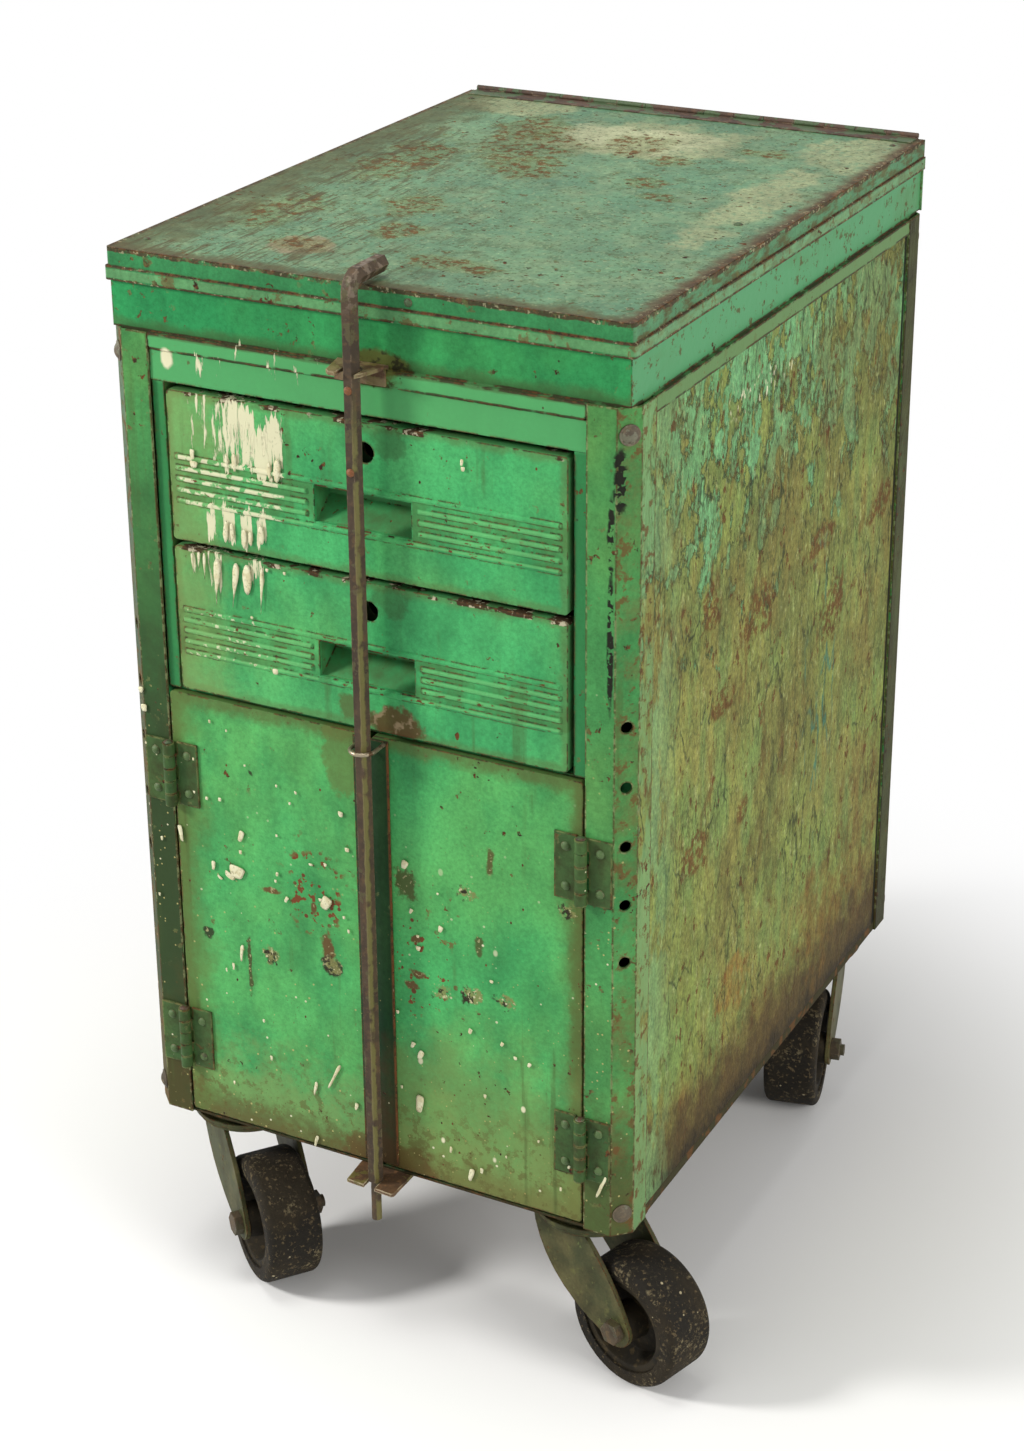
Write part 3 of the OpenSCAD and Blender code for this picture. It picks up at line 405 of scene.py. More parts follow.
def weathered_side(coat, where, cover_from=0.25, cover_to=0.82):
    """The right and left sides: a mint coat under a flaking olive one, cracked and rust-stained."""
    coat.lay(where, MINT, 0.5)
    coat.lay(where * coat.patch(0.02, 0.42, 0.62, detail=6, tall=0.4), (86, 134, 80), share=0.65)
    drop = coat.z.ease(cover_to, cover_from) - coat.y.ease(-0.245, -0.295) * 0.3
    flaking = coat.noise(0.032, detail=9, rough=0.72, tall=0.62)
    level = flaking + drop * 0.55
    cover = where * level.ease(0.52, 0.55)
    coat.lay(cover, OLIVE, 0.62, rise=0.0004)
    coat.lay(cover * coat.patch(0.1, 0.42, 0.6, detail=6), (130, 126, 64), share=0.8)
    coat.lay(cover * coat.patch(0.03, 0.44, 0.62, detail=6, tall=0.3), (98, 128, 68), share=0.65)
    rim = level.ease(0.502, 0.522) * level.ease(0.552, 0.532) * coat.patch(0.04, 0.38, 0.48)
    coat.lay(where * rim, (50, 54, 30), 0.7, share=0.85)
    haze = coat.patch(0.17, 0.42, 0.6, detail=6, rough=0.65) * coat.z.ease(0.22, 0.5)
    coat.lay(where * haze, (104, 92, 48), 0.7, share=0.55)
    fine = where * coat.cracks(0.015, 0.0007, tall=0.32) * coat.patch(0.06, 0.46, 0.56)
    coat.lay(fine, (66, 74, 40), 0.7, rise=-0.0002, share=0.75)
    cracks = where * coat.cracks(0.03, 0.0011, tall=0.3) * coat.patch(0.08, 0.46, 0.55)
    coat.lay(cracks, (44, 54, 32), 0.7, rise=-0.0005, share=0.9)
    smear = coat.patch(0.035, 0.54, 0.66, detail=9, rough=0.76, tall=0.38, turn=(0.6, 0, 0))
    coat.lay(where * smear, (94, 70, 38), 0.75, share=0.8)
    fleck = coat.patch(0.011, 0.6, 0.635, detail=6, rough=0.68, tall=0.6)
    coat.lay(where * fleck, (92, 60, 34), 0.8, rise=-0.0002, share=0.9)
    grain = coat.patch(0.0034, 0.52, 0.66, detail=5, rough=0.7, tall=0.5)
    coat.lay(where * grain, (78, 76, 38), share=0.6)
    bright = coat.patch(0.005, 0.57, 0.66, detail=5, rough=0.7, tall=0.4)
    coat.lay(where * bright, (160, 168, 112), share=0.55)
    coat.smoke(where * coat.z.ease(0.33, 0.16), (104, 78, 38), 0.6, size=0.05)
    coat.smoke(where * coat.z.ease(0.29, 0.17), (70, 54, 30), 0.85, size=0.03)
    coat.smoke(where * coat.z.ease(0.205, 0.155), (44, 36, 22), 0.95, size=0.018)
    coat.relief(where * coat.noise(0.004, detail=5, rough=0.7), 0.0006)


posts = enamel("post_enamel", 3, (66, 136, 74))
outside = posts.side(0, 1, 0.8, 0.9) | posts.side(0, -1, 0.8, 0.9) | posts.side(1, 1, 0.8, 0.9)
weathered_side(posts, outside, 0.1, 1.1)
front_side = outside * posts.y.ease(-0.25, -0.268) * ~posts.side(1)
mint = front_side.patch(0.03, 0.4, 0.52, detail=7, rough=0.7, tall=0.4)
posts.lay(mint, (112, 152, 98), share=0.75)
rusty = front_side.patch(0.012, 0.55, 0.6, detail=6, rough=0.7)
posts.lay(rusty, (96, 66, 38), 0.8, share=0.85)
rear_side = outside * posts.y.ease(0.2, 0.25) * ~posts.side(1)
posts.lay(rear_side, (54, 60, 32), share=0.85)
posts.smoke(rear_side * 0.6, (50, 48, 28), 0.85, size=0.04)
front_bevel = (posts.side(0, 1, 0.5, 0.6) | posts.side(0, -1, 0.5, 0.6)) * posts.side(1, -1, 0.5, 0.6)
left_post = posts.x.ease(-0.18, -0.19)
posts.lay(left_post * ~outside * posts.z.ease(0.86, 0.6), (46, 80, 42), share=0.8)
posts.smoke(left_post * ~outside * posts.z.ease(0.85, 0.4), (46, 58, 32), 0.85, size=0.05)
posts.lay(left_post * front_bevel, (40, 60, 36), share=0.75)
posts.smoke(posts.z.ease(0.36, 0.165) * ~outside, (72, 66, 34), 0.8)
posts.smoke(front_bevel * 0.4, (104, 84, 48), 0.85, size=0.025, rough=0.7)
bevel_rust = front_bevel.patch(0.018, 0.54, 0.6, detail=7, rough=0.7)
posts.lay(bevel_rust, (100, 70, 40), 0.8, share=0.8)
streaks(posts)
chipping(posts, 0.03)
wear = posts.edges(0.006, 0.03) * posts.patch(0.016, 0.42, 0.5, detail=6, rough=0.7)
posts.lay(wear, (78, 52, 32), 0.75, share=0.9)
# Pale flecks on the worn edges: worn paint, and also a painted highlight along the posts' edges.
posts.lay(wear.patch(0.006, 0.5, 0.58), (142, 150, 104), 0.6, share=0.7)
torn = (
    posts.near((217, -300, 812), (5, 14, 26), 0.4)
    | posts.near((211, -303, 780), (3.5, 14, 22), 0.4)
    | posts.near((211, -303, 690), (3, 14, 66), 0.4)
)
posts.lay(torn.patch(0.007, 0.47, 0.5, detail=5), (30, 32, 24), 0.8, rise=-0.0003)
spatter(posts, ~outside * posts.patch(0.06, 0.42, 0.6), (92, 64, 34), 0.008, 0.4, 0.0016)
splashes(posts, ~outside * posts.z.ease(0.75, 0.4))
# A dark line on the posts' sides where the side panels meet them: painted shadow of the gap there.
gap_shadow = (posts.side(0) | posts.side(0, -1.0)) * posts.y.strip(0.264, 0.2672)
posts.lay(gap_shadow, (24, 24, 16), 0.8, share=0.9)
dress(posts.done(), "post_front_left", "post_front_right", "post_rear_left", "post_rear_right")

# The long brush marks run up and down over everything that stood on the left of the front.


def brushed(coat, left, right_side, low, high, thin=0.5, hair=0.006):
    """One pull of a nearly dry brush, in millimetres: full at its head and split into hairs at its foot."""
    middle, half = (left + right_side) / 2000, (right_side - left) / 2000
    across = abs(coat.x - middle).ease(half * 1.2, half * 0.4)
    hairs = coat.noise(hair * 0.6, detail=3, rough=0.6, tall=0.03) - 0.5
    height = coat.z + hairs * 0.045
    foot, head = low / 1000, high / 1000
    along = height.ease(foot - 0.003, foot + 0.004) * height.ease(head + 0.003, head - 0.003)
    bristles = coat.noise(hair, detail=7, rough=0.72, tall=0.12)
    paint = bristles + (across * along - 1.0) * 0.4
    coat.lay(paint.ease(thin - 0.02, thin + 0.03), CREAM, 0.5, rise=0.0003, share=0.95)


rails = enamel("rail_enamel", 40, (40, 134, 76))
rail_sides = rails.side(0) | rails.side(0, -1.0) | rails.side(1)
# The sides are drawn a lighter green than the front: the same coat, lightened as painted light.
rails.lay(rail_sides, (76, 142, 94), 0.45)
worn = rail_sides.patch(0.06, 0.44, 0.66, detail=6, wide=(0.5, 0.5))
rails.lay(worn, (74, 124, 74), share=0.75)
rusty = rail_sides.patch(0.012, 0.58, 0.63, detail=6, rough=0.68)
rails.lay(rusty, (84, 66, 38), 0.7, share=0.8)
lower = rails.z.ease(0.8725, 0.8695)
rails.lay(lower * rails.z.ease(0.828, 0.8325) * ~rail_sides, (84, 160, 98), share=0.8)
rails.lay(rails.z.ease(0.832, 0.828), (54, 120, 68), share=0.6)
rails.lay(lower * rail_sides, (92, 118, 66), 0.5, share=0.8)
# A soft dark band just above the ledge on the front: painted shade, laid as a cloud of dirt.
ledge_shade = rails.z.ease(0.888, 0.871) * rails.z.ease(0.866, 0.869) * ~rail_sides
rails.smoke(ledge_shade, (66, 80, 42), 0.55, size=0.03)
# Dark lines along the top and bottom edges of the skirt: painted shadow of the narrow gaps there, broken up
# and brown like dirt.
for low, high in ((0.8688, 0.8722), (0.8565, 0.8592)):
    skirt_gap_shadow = rails.z.strip(low, high, 0.0005) * rails.patch(0.02, 0.38, 0.5, detail=5)
    rails.lay(skirt_gap_shadow, (50, 44, 26), 0.6, share=0.9)
chipping(rails, 0.02)
rails.lay(rails.dots(0.013, 0.28, 0.0014), DARK_RUST, 0.8)
for pull in (
    (-150, -138, 840, 858, 0.5), (-132, -122, 842, 868, 0.52), (-112, -104, 858, 872, 0.46),
    (-84, -70, 846, 870, 0.52), (-62, -52, 848, 868, 0.54), (-40, -34, 862, 872, 0.5),
):
    brushed(rails, *pull, 0.004)
rails.lay(rails.near((-174, -303, 852), (6, 14, 9), 0.25), CREAM, 0.45, rise=0.0004)
welds = rails.near((14, -301, 874), (26, 20, 12)) | rails.near((14, -303, 862), (18, 20, 8))
rails.lay(welds * ~rail_sides, (84, 82, 34), 0.8, share=0.85)
rails.lay(welds.patch(0.008, 0.5, 0.6, detail=5), OIL, 0.8, share=0.9)
dress(rails.done(), "till_band", "front_rail", "cross_rail", "drawer_stiles")

# Side, back and bottom panels
# Flat sheets bolted inside the corner posts. Two coats of paint are peeling off them.
panels = Finish("panel_enamel", MINT, 0.5, seed=70)
weathered_side(panels, 1.0)
for y, z, deep, tall in (
    (-56, 619, 34, 24), (-121, 567, 22, 14), (-175, 449, 26, 18), (-80, 446, 14, 14),
    (229, 617, 30, 18), (75, 633, 34, 14), (120, 560, 40, 26), (-150, 660, 18, 22),
):
    stain = panels.near((229, y, z), (20, deep, tall), 0.7, 0.03)
    stain = stain.patch(0.009, 0.42, 0.54, detail=6, rough=0.7)
    panels.lay(stain, (94, 62, 34), 0.8, share=0.85)
for y, z, deep, tall, colour in (
    (-83, 286, 60, 26, (132, 92, 40)), (210, 320, 70, 90, (98, 72, 38)),
    (120, 250, 60, 50, (110, 82, 40)), (-20, 420, 40, 90, (92, 88, 46)),
    (-120, 380, 30, 60, (96, 90, 48)),
):
    stain = panels.near((229, y, z), (20, deep, tall), 1.0, 0.07)
    stain = stain.patch(0.02, 0.36, 0.66, detail=8, rough=0.76, tall=0.6)
    panels.lay(stain, colour, 0.7, share=0.75)
flow = panels.near((229, 90, 470), (20, 40, 150), 0.4, 0.05)
teal = flow * panels.cracks(0.04, 0.0022, tall=0.25) * panels.patch(0.05, 0.42, 0.52)
panels.lay(teal, (52, 104, 84), 0.6, share=0.85)
front_edge = panels.y.ease(-0.2, -0.262) * panels.patch(0.03, 0.42, 0.52, detail=8, rough=0.72, tall=0.4)
panels.lay(front_edge, (112, 150, 96), 0.5, share=0.7)
nicks = panels.near((229, -72, 815), (20, 70, 14), 0.3)
panels.lay(nicks.patch(0.006, 0.58, 0.61, detail=3, tall=0.4), CREAM, 0.5, share=0.9)
panels.lay(panels.dots(0.022, 0.1, 0.0022, tall=0.4), CREAM, 0.45, share=0.8)
panels.mottle(0.0024, 0.6, detail=5, rough=0.75, tall=0.6)
panels.mottle(0.014, 0.42, detail=6, rough=0.72, tall=0.5)
# A dark line down the side panels just in front of the rear posts: painted shadow of the gap where the panel
# bows in behind the post's flange.
panels.lay(panels.y.strip(0.2595, 0.2648), (20, 20, 14), 0.8, share=0.95)
dress(panels.done(), "side_panel_left", "side_panel_right", "back_panel", "rear_strip")

inside = Finish("inner_enamel", (62, 92, 60), 0.6, seed=90)
inside.lay(inside.patch(0.12, 0.4, 0.62), (76, 92, 58), share=0.7)
inside.smoke(0.5, GRIME, 0.7, size=0.07)
chipping(inside, 0.02)
pan_rim = inside.z.ease(0.172, 0.169) * ~inside.side(2)
inside.lay(pan_rim, (52, 44, 26), 0.8, share=0.9)
inside.lay(pan_rim.patch(0.012, 0.52, 0.6, detail=5), (96, 66, 38), 0.8, share=0.8)
inside.mottle(0.003, 0.18, detail=4, rough=0.7)
trays = ("drawer_upper_tray", "drawer_lower_tray")
dress(inside.done(), "bottom_pan", "till_floor", "drawer_runners", *trays)

# Drawer fronts
# Pressed steel with five ribs each side of a formed finger pull. Someone wiped a cream brush on them.
DRAWER_HALF, DRAWER_TALL = 0.1755, 0.1255
for level, low, seed in (("upper", 0.701, 120), ("lower", 0.57, 150)):
    front = enamel("drawer_" + level + "_enamel", seed, (68, 162, 96))
    high = low + DRAWER_TALL
    front.smoke(front.outline(-DRAWER_HALF, DRAWER_HALF, low, high, 0.012), (88, 92, 48), 0.4, size=0.02)
    front.smoke(front.x.ease(-0.07, -0.19), (122, 140, 80), 0.55, size=0.04)
    # The finger pull's pocket is drawn darker than the face, as painted shade in the recess, and is dirty
    # from fingers.
    pocket_shade_and_grime = front.y.ease(-0.3022, -0.299)
    front.lay(pocket_shade_and_grime, (68, 146, 88), 0.5, share=0.7)
    front.smoke(pocket_shade_and_grime * 0.55, (78, 84, 48), 0.6, size=0.02)
    ribbed = front.z.strip(low + 0.034, low + 0.07) * ~front.x.strip(-0.044, 0.044)
    crest = front.y.ease(-0.3036, -0.3046)
    # Between the ribs the coat is darkened, as dirt and painted shade in the grooves; on the crests it is
    # lightened as a painted highlight.
    front.lay(ribbed * ~crest * front.patch(0.03, 0.4, 0.6, detail=5), (70, 100, 50), share=0.5)
    front.lay(ribbed * crest, (114, 180, 110), share=0.4)
    flecks = front.noise(0.006, detail=5, rough=0.7, wide=(0.5, 1)).ease(0.6, 0.62)
    front.lay(crest * flecks, RUST, 0.8, rise=-0.0001)
    streaks(front)
    lock = front.spot(22, (low + 0.112) * 1000, 17, 13, 0.7)
    front.lay(lock, (60, 66, 36), 0.6, share=0.4)
    top_edge = front.z.strip(high - 0.0035, high + 0.001, 0.0007) * front.patch(0.02, 0.5, 0.56, detail=6)
    front.lay(top_edge, (64, 48, 32), 0.85)
    front.lay(top_edge.patch(0.005, 0.56, 0.6), (196, 188, 160), 0.6, share=0.8)
    spatter(front, front.patch(0.08, 0.44, 0.64), (84, 74, 38), 0.009, 0.25, 0.0012)
    chipping(front, 0.005)
    if level == "upper":
        for pull in (
            (-158, -150, 776, 818, 0.52, 0.004), (-152, -136, 788, 826, 0.5, 0.005),
            (-138, -122, 776, 824, 0.51, 0.005), (-129, -105, 768, 828, 0.44, 0.006),
            (-113, -93, 772, 824, 0.42, 0.006), (-100, -80, 766, 808, 0.42, 0.007),
            (-88, -66, 764, 820, 0.43, 0.006), (-136, -70, 784, 808, 0.53, 0.004),
            (-146, -132, 704, 734, 0.45, 0.006), (-131, -114, 706, 736, 0.42, 0.007),
            (-116, -98, 704, 734, 0.41, 0.007), (-100, -84, 710, 736, 0.42, 0.007),
        ):
            brushed(front, *pull)
        wiped = crest * front.x.strip(-0.168, -0.07, 0.004) * front.patch(0.007, 0.46, 0.54, detail=5)
        front.lay(wiped, CREAM, 0.5, share=0.85)
    else:
        for pull in ((-162, -148, 676, 697, 0.48), (-148, -128, 664, 697, 0.46), (-112, -88, 678, 697, 0.5)):
            brushed(front, *pull, 0.005)
        wiped = crest * front.x.strip(-0.165, -0.09, 0.004) * front.patch(0.005, 0.57, 0.61, detail=4)
        front.lay(wiped, CREAM, 0.5, share=0.7)
        smear = front.spot(28, 580, 26, 12, 0.6)
        front.lay(smear, (86, 58, 32), 0.6, share=0.9)
        front.lay(smear.patch(0.012, 0.52, 0.62, detail=4), (148, 130, 100), 0.35, share=0.8)
        front.lay(front.spot(-16, 586, 14, 12, 0.6), (84, 84, 42), 0.6, share=0.7)
    dress(front.done(), "drawer_" + level + "_front")

# Doors
# Two pressed pans on butt hinges. The left one carries the strip that laps over the right one.
DOOR_FOOT, DOOR_HEAD = 0.1625, 0.5645
for hand, left, right_side, seed in (("left", -0.1885, -0.0025, 200), ("right", 0.0025, 0.1885, 240)):
    door = enamel("door_" + hand + "_enamel", seed, (66, 158, 90))
    border = door.outline(left, right_side, DOOR_FOOT, DOOR_HEAD, 0.022)
    door.smoke(border, (84, 88, 44), 0.7, size=0.018, rough=0.7)
    door.smoke(door.z.ease(0.3, 0.165), (126, 140, 82), 0.55, size=0.03, rough=0.7)
    door.smoke(door.z.ease(0.215, 0.16), (84, 76, 42), 0.75, size=0.016, rough=0.72)
    if hand == "left":
        door.smoke(door.x.ease(-0.13, -0.195), (88, 108, 54), 0.65, size=0.03, rough=0.7)
        door.smoke(door.spot(-22, 545, 26, 40, 0.4), (96, 104, 52), 0.6)
        door.smoke(door.spot(-14, 166, 26, 24, 0.4), (92, 66, 34), 0.7)
    else:
        door.smoke(door.x.ease(0.14, 0.2), (84, 88, 42), 0.6, size=0.05)
        door.smoke(door.z.ease(0.4, 0.2), (118, 128, 70), 0.5, size=0.05)
        door.smoke(door.spot(30, 166, 26, 22, 0.4), (92, 66, 34), 0.7)
    grimy = door.patch(0.012, 0.52, 0.6, detail=7, rough=0.72)
    door.lay(door.z.ease(0.29, 0.18) * grimy, (92, 88, 46), share=0.7)
    streaks(door, 0.6)
    chipping(door, 0.0)
    border = door.outline(left, right_side, DOOR_FOOT, DOOR_HEAD, 0.02)
    muddy = door.z.ease(0.34, 0.17) | border | door.patch(0.09, 0.5, 0.68)
    spatter(door, muddy, (78, 66, 34), 0.008, 0.4, 0.0015)
    spatter(door, door.z.ease(0.3, 0.17), (150, 138, 84), 0.007, 0.3, 0.0011)
    if hand == "left":
        marks = (
            (-46, 359, 6, 15, RUST), (-42, 342, 9, 9, DARK_RUST), (-58, 395, 3, 7, RUST),
            (-100, 400, 10, 3, RUST), (-103, 337, 6, 6, OIL), (-123, 322, 2.4, 26, (66, 64, 34)),
            (-164, 344, 5, 6, OIL), (-114, 505, 3, 4, OIL),
        )
        curls, cluster, flicked = ((-103, 337), (-42, 342)), (-52, 410), (-90, 410)
    else:
        marks = (
            (31, 438, 11, 13, (70, 74, 36)), (107, 477, 4, 13, (82, 72, 38)),
            (96, 398, 4, 9, (72, 78, 40)), (38, 389, 5, 4, RUST), (40, 357, 6, 4, RUST),
            (34, 345, 7, 4, RUST),
        )
        curls = ((84, 443), (175, 449), (61, 345), (88, 350), (118, 352))
        cluster, flicked = (40, 366), (60, 330)
    for *place, colour in marks:
        mark = door.spot(*place, 0.7, 0.012)
        door.lay(mark, colour, share=0.9)
        door.lay(mark.patch(0.004, 0.58, 0.64), (170, 164, 120), share=0.7)
    # Each curl of torn paint: a pale lifted flake; a dark bare core set to its lower left, partly painted
    # shade under the curl; and pale flecks on top, a painted highlight.
    for x, z in curls:
        curl = door.spot(x + 2, z + 1, 8, 7, 0.9, 0.01)
        door.lay(curl.patch(0.006, 0.4, 0.5, detail=5), (126, 126, 76), rise=0.0004, share=0.85)
        bare_core_and_shade = door.spot(x - 1, z - 1, 7, 7, 0.9, 0.008)
        door.lay(bare_core_and_shade.patch(0.005, 0.5, 0.56, detail=5), (44, 42, 26))
        door.lay(curl.patch(0.003, 0.58, 0.64, detail=4), (188, 184, 142))
    cluster = door.spot(*cluster, 30, 50, 0.6, 0.03)
    door.lay(cluster * door.dots(0.008, 0.55, 0.003), RUST)
    door.lay(cluster.patch(0.009, 0.6, 0.61, detail=4), (112, 62, 34))
    splashes(door, door.z.ease(0.62, 0.2))
    flicked = door.spot(*flicked, 85, 70, 0.8, 0.05)
    door.lay(flicked * door.dots(0.011, 0.3, 0.0022), CREAM)
    dress(door.done(), "door_" + hand + "_panel")

# The strip's dark green base colour is painted shade: the bar's shadow falling across it, drawn into the
# coat.
strip = enamel("strip_enamel_painted_shade", 280, (26, 58, 34))
strip.smoke(strip.z.ease(0.34, 0.17), (66, 44, 26), 0.8)
strip.lay(strip.x.ease(0.0155, 0.0172) * strip.patch(0.03, 0.36, 0.5), (108, 66, 36), 0.7)
chipping(strip, 0.02)
splashes(strip, strip.z.ease(0.5, 0.2))
dress(strip.done(), "door_left_strip")

leaves = enamel("leaf_enamel", 290, (62, 94, 50))
leaves.smoke(0.5, (54, 52, 28), 0.8, size=0.016)
chipping(leaves, 0.05)
# Pale along the leaves' edges: worn paint, and also a painted highlight along those edges.
leaves.lay(leaves.edges() * leaves.patch(0.01, 0.44, 0.56), (132, 138, 84), 0.5, share=0.6)
leaves.lay(leaves.dots(0.008, 0.3, 0.0014), CREAM, 0.5)
dress(leaves.done(), "door_left_leaves", "door_right_leaves", "post_hinge_leaves")

# Paint drops
# Blobs, dabs and pointed runs of thick cream wall paint that dried on the fronts and stand proud of them.
# Each is a thin lens of paint, laid on the sheet that caught it.
cream = Finish("drop_cream", CREAM, 0.4, round_edge=0.0004, sheen=0.4, seed=500)
cream.lay(cream.patch(0.006, 0.44, 0.62, detail=4), (196, 186, 142), 0.5, share=0.7)
cream.lay(cream.patch(0.002, 0.58, 0.66, detail=4), (150, 142, 104), 0.6, share=0.6)
cream_paint = cream.done()


def drop_shape(name, taper, square=1.0):
    """A lens of paint one metre wide and high, flat behind, narrowed at its foot, and squarer below 1."""
    mesh = bpy.data.meshes.new(name)
    rings, spokes = 4, 20
    points = [(0.0, -1.0, 0.0)]
    for ring in range(1, rings + 1):
        out = ring / rings
        for spoke in range(spokes):
            angle = 2 * math.pi * spoke / spokes
            across = out * math.copysign(abs(math.cos(angle)) ** square, math.cos(angle)) / 2
            along = out * math.copysign(abs(math.sin(angle)) ** square, math.sin(angle)) / 2
            across *= 1 - taper * (0.5 - along)
            points.append((across, -((1 - out**3) ** 0.7), along))
    points.append((0.0, 0.0, 0.0))
    first, last = 1, len(points) - 1
    rim = last - spokes
    faces = [(0, first + (k + 1) % spokes, first + k) for k in range(spokes)]
    for ring in range(rings - 1):
        base = first + ring * spokes
        for k in range(spokes):
            after = (k + 1) % spokes
            faces.append((base + k, base + after, base + spokes + after, base + spokes + k))
    faces += [(rim + k, rim + (k + 1) % spokes, last) for k in range(spokes)]
    mesh.from_pydata(points, [], faces)
    shape = bpy.data.objects.new(name, mesh)
    scene.collection.objects.link(shape)
    return shape


def drops_tree(shapes):
    """Sets a shape on every point, in the point's own size and lean, and roughens its outline."""
    tree = bpy.data.node_groups.new("paint_drops", "GeometryNodeTree")
    face = tree.interface
    face.new_socket("Points", in_out="INPUT", socket_type="NodeSocketGeometry")
    thickness = face.new_socket("Thickness", in_out="INPUT", socket_type="NodeSocketFloat")
    unevenness = face.new_socket("Unevenness", in_out="INPUT", socket_type="NodeSocketFloat")
    seed = face.new_socket("Seed", in_out="INPUT", socket_type="NodeSocketInt")
    face.new_socket("Drops", in_out="OUTPUT", socket_type="NodeSocketGeometry")

    def add(kind, fed=(), **settings):
        return new_node(tree, kind, fed, **settings).outputs

    def named(name):
        return add("GeometryNodeInputNamedAttribute", {"Name": name}, data_type="FLOAT")["Attribute"]

    given = add("NodeGroupInput")
    kinds = new_node(tree, "GeometryNodeJoinGeometry")
    for shape in shapes:
        source = add("GeometryNodeObjectInfo", {"Object": shape})
        single = add("GeometryNodeGeometryToInstance", {"Geometry": source["Geometry"]})
        plug(tree, kinds, {0: single["Instances"]})
    points = {
        "Points": given["Points"],
        "Instance": kinds.outputs[0],
        "Pick Instance": True,
        "Instance Index": named("kind"),
        "Rotation": add("ShaderNodeCombineXYZ", {1: named("lean")})[0],
        "Scale": add("ShaderNodeCombineXYZ", {0: named("wide"), 1: given["Thickness"], 2: named("tall")})[0],
    }
    placed = add("GeometryNodeInstanceOnPoints", points)
    real = add("GeometryNodeRealizeInstances", {0: placed[0]})
    rough = add("ShaderNodeTexNoise", {"Scale": 180, "Detail": 2, "W": given["Seed"]}, noise_dimensions="4D")
    centred = add("ShaderNodeVectorMath", {0: rough["Color"], 1: (0.5, 0.5, 0.5)}, operation="SUBTRACT")
    spread = add("ShaderNodeVectorMath", {0: centred[0], "Scale": given["Unevenness"]}, operation="SCALE")
    level = add("ShaderNodeVectorMath", {0: spread[0], 1: (1, 0, 1)}, operation="MULTIPLY")
    moved = add("GeometryNodeSetPosition", {"Geometry": real[0], "Offset": level[0]})
    paint = add("GeometryNodeSetMaterial", {"Geometry": moved[0], "Material": cream_paint})
    add("NodeGroupOutput", {0: paint[0]})
    return tree, [socket.identifier for socket in (thickness, unevenness, seed)]


drop_shapes = [drop_shape("drop_round", 0.1), drop_shape("drop_run", 1.2), drop_shape("drop_dab", 0.35, 0.55)]
ROUND, RUN, DAB = range(len(drop_shapes))
UPRIGHT_ROUND = (0, 0, 0, 0, 0, ROUND)
THICKNESS, UNEVENNESS = 0.0007, 0.0022
drop_tree, drop_inputs = drops_tree(drop_shapes)


def paint_drops(name, body, depth, seed, places):
    """Drops on a sheet at a depth in metres: across, up, width, height, and any lean and kind."""
    places = [place + UPRIGHT_ROUND[len(place):] for place in places]
    points = bpy.data.meshes.new(name + "_points")
    points.from_pydata([from_middle(x, 0, z) + Vector((0, depth, 0)) for x, z, *rest in places], [], [])
    scales = {"wide": 0.001, "tall": 0.001, "lean": math.radians(1), "kind": 1}
    for column, (key, scale) in enumerate(scales.items(), 2):
        held = points.attributes.new(key, "FLOAT", "POINT")
        held.data.foreach_set("value", [place[column] * scale for place in places])
    source = bpy.data.objects.new(name + "_source", points)
    scene.collection.objects.link(source)
    maker = source.modifiers.new("drops", "NODES")
    maker.node_group = drop_tree
    for key, value in zip(drop_inputs, (THICKNESS, UNEVENNESS, seed)):
        maker[key] = value
    made = bpy.data.meshes.new_from_object(source.evaluated_get(bpy.context.evaluated_depsgraph_get()))
    piece = bpy.data.objects.new(name, made)
    scene.collection.objects.link(piece)
    for polygon in made.polygons:
        polygon.use_smooth = True
    bpy.data.objects.remove(source)
    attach(piece, body)


LEFT_FACE, RIGHT_FACE, POST_FACE = -0.3045, -0.304, -0.305
paint_drops("left_door_drops", "door_left", LEFT_FACE, 1, [
    (-131, 410, 17, 12, 10), (-138, 405, 12, 5, 30), (-148, 401, 6, 2.5, 30), (-125, 445, 6, 10.5, 20),
    (-126, 430, 3.8, 3.6), (-154, 411, 4.2, 9, 5), (-45, 402, 11, 13, 25), (-28, 488, 5.6, 5.4),
    (-83, 396, 4, 7, 25), (-23, 457, 5, 3.8), (-58, 435, 5, 2.2), (-44, 438, 4, 3.2), (-91, 418, 3.2, 4),
    (-93, 411, 2.6, 2.8), (-50, 404, 4, 3), (-62, 219, 3.4, 14, 12), (-43, 236, 3.2, 29, 25),
    (-22, 213, 3.8, 7.2, 12), (-130, 333, 3.4, 16, 8), (-139, 318, 3.2, 7), (-146, 313, 2.1, 4),
    (-105, 237, 3, 5), (-111, 272, 2.6, 3.2), (-144, 201, 2.6, 4), (-63, 166, 3.2, 12, 15),
    (-185, 434, 5, 15, -8), (-70, 498, 3, 3.2), (-76, 487, 2.6, 2.8), (-90, 454, 2.6, 2.5),
    (-28, 393, 3, 3.2), (-24, 381, 3, 3.6), (-88, 500, 2.4, 2.4), (-144, 475, 3.6, 3.8),
    (-157, 473, 3.6, 3.4), (-169, 476, 2.6, 2.8), (-168, 507, 2.8, 2.8), (-118, 512, 2.2, 2.2),
    (-150, 545, 2.4, 3), (-134, 540, 2, 2.2),
])
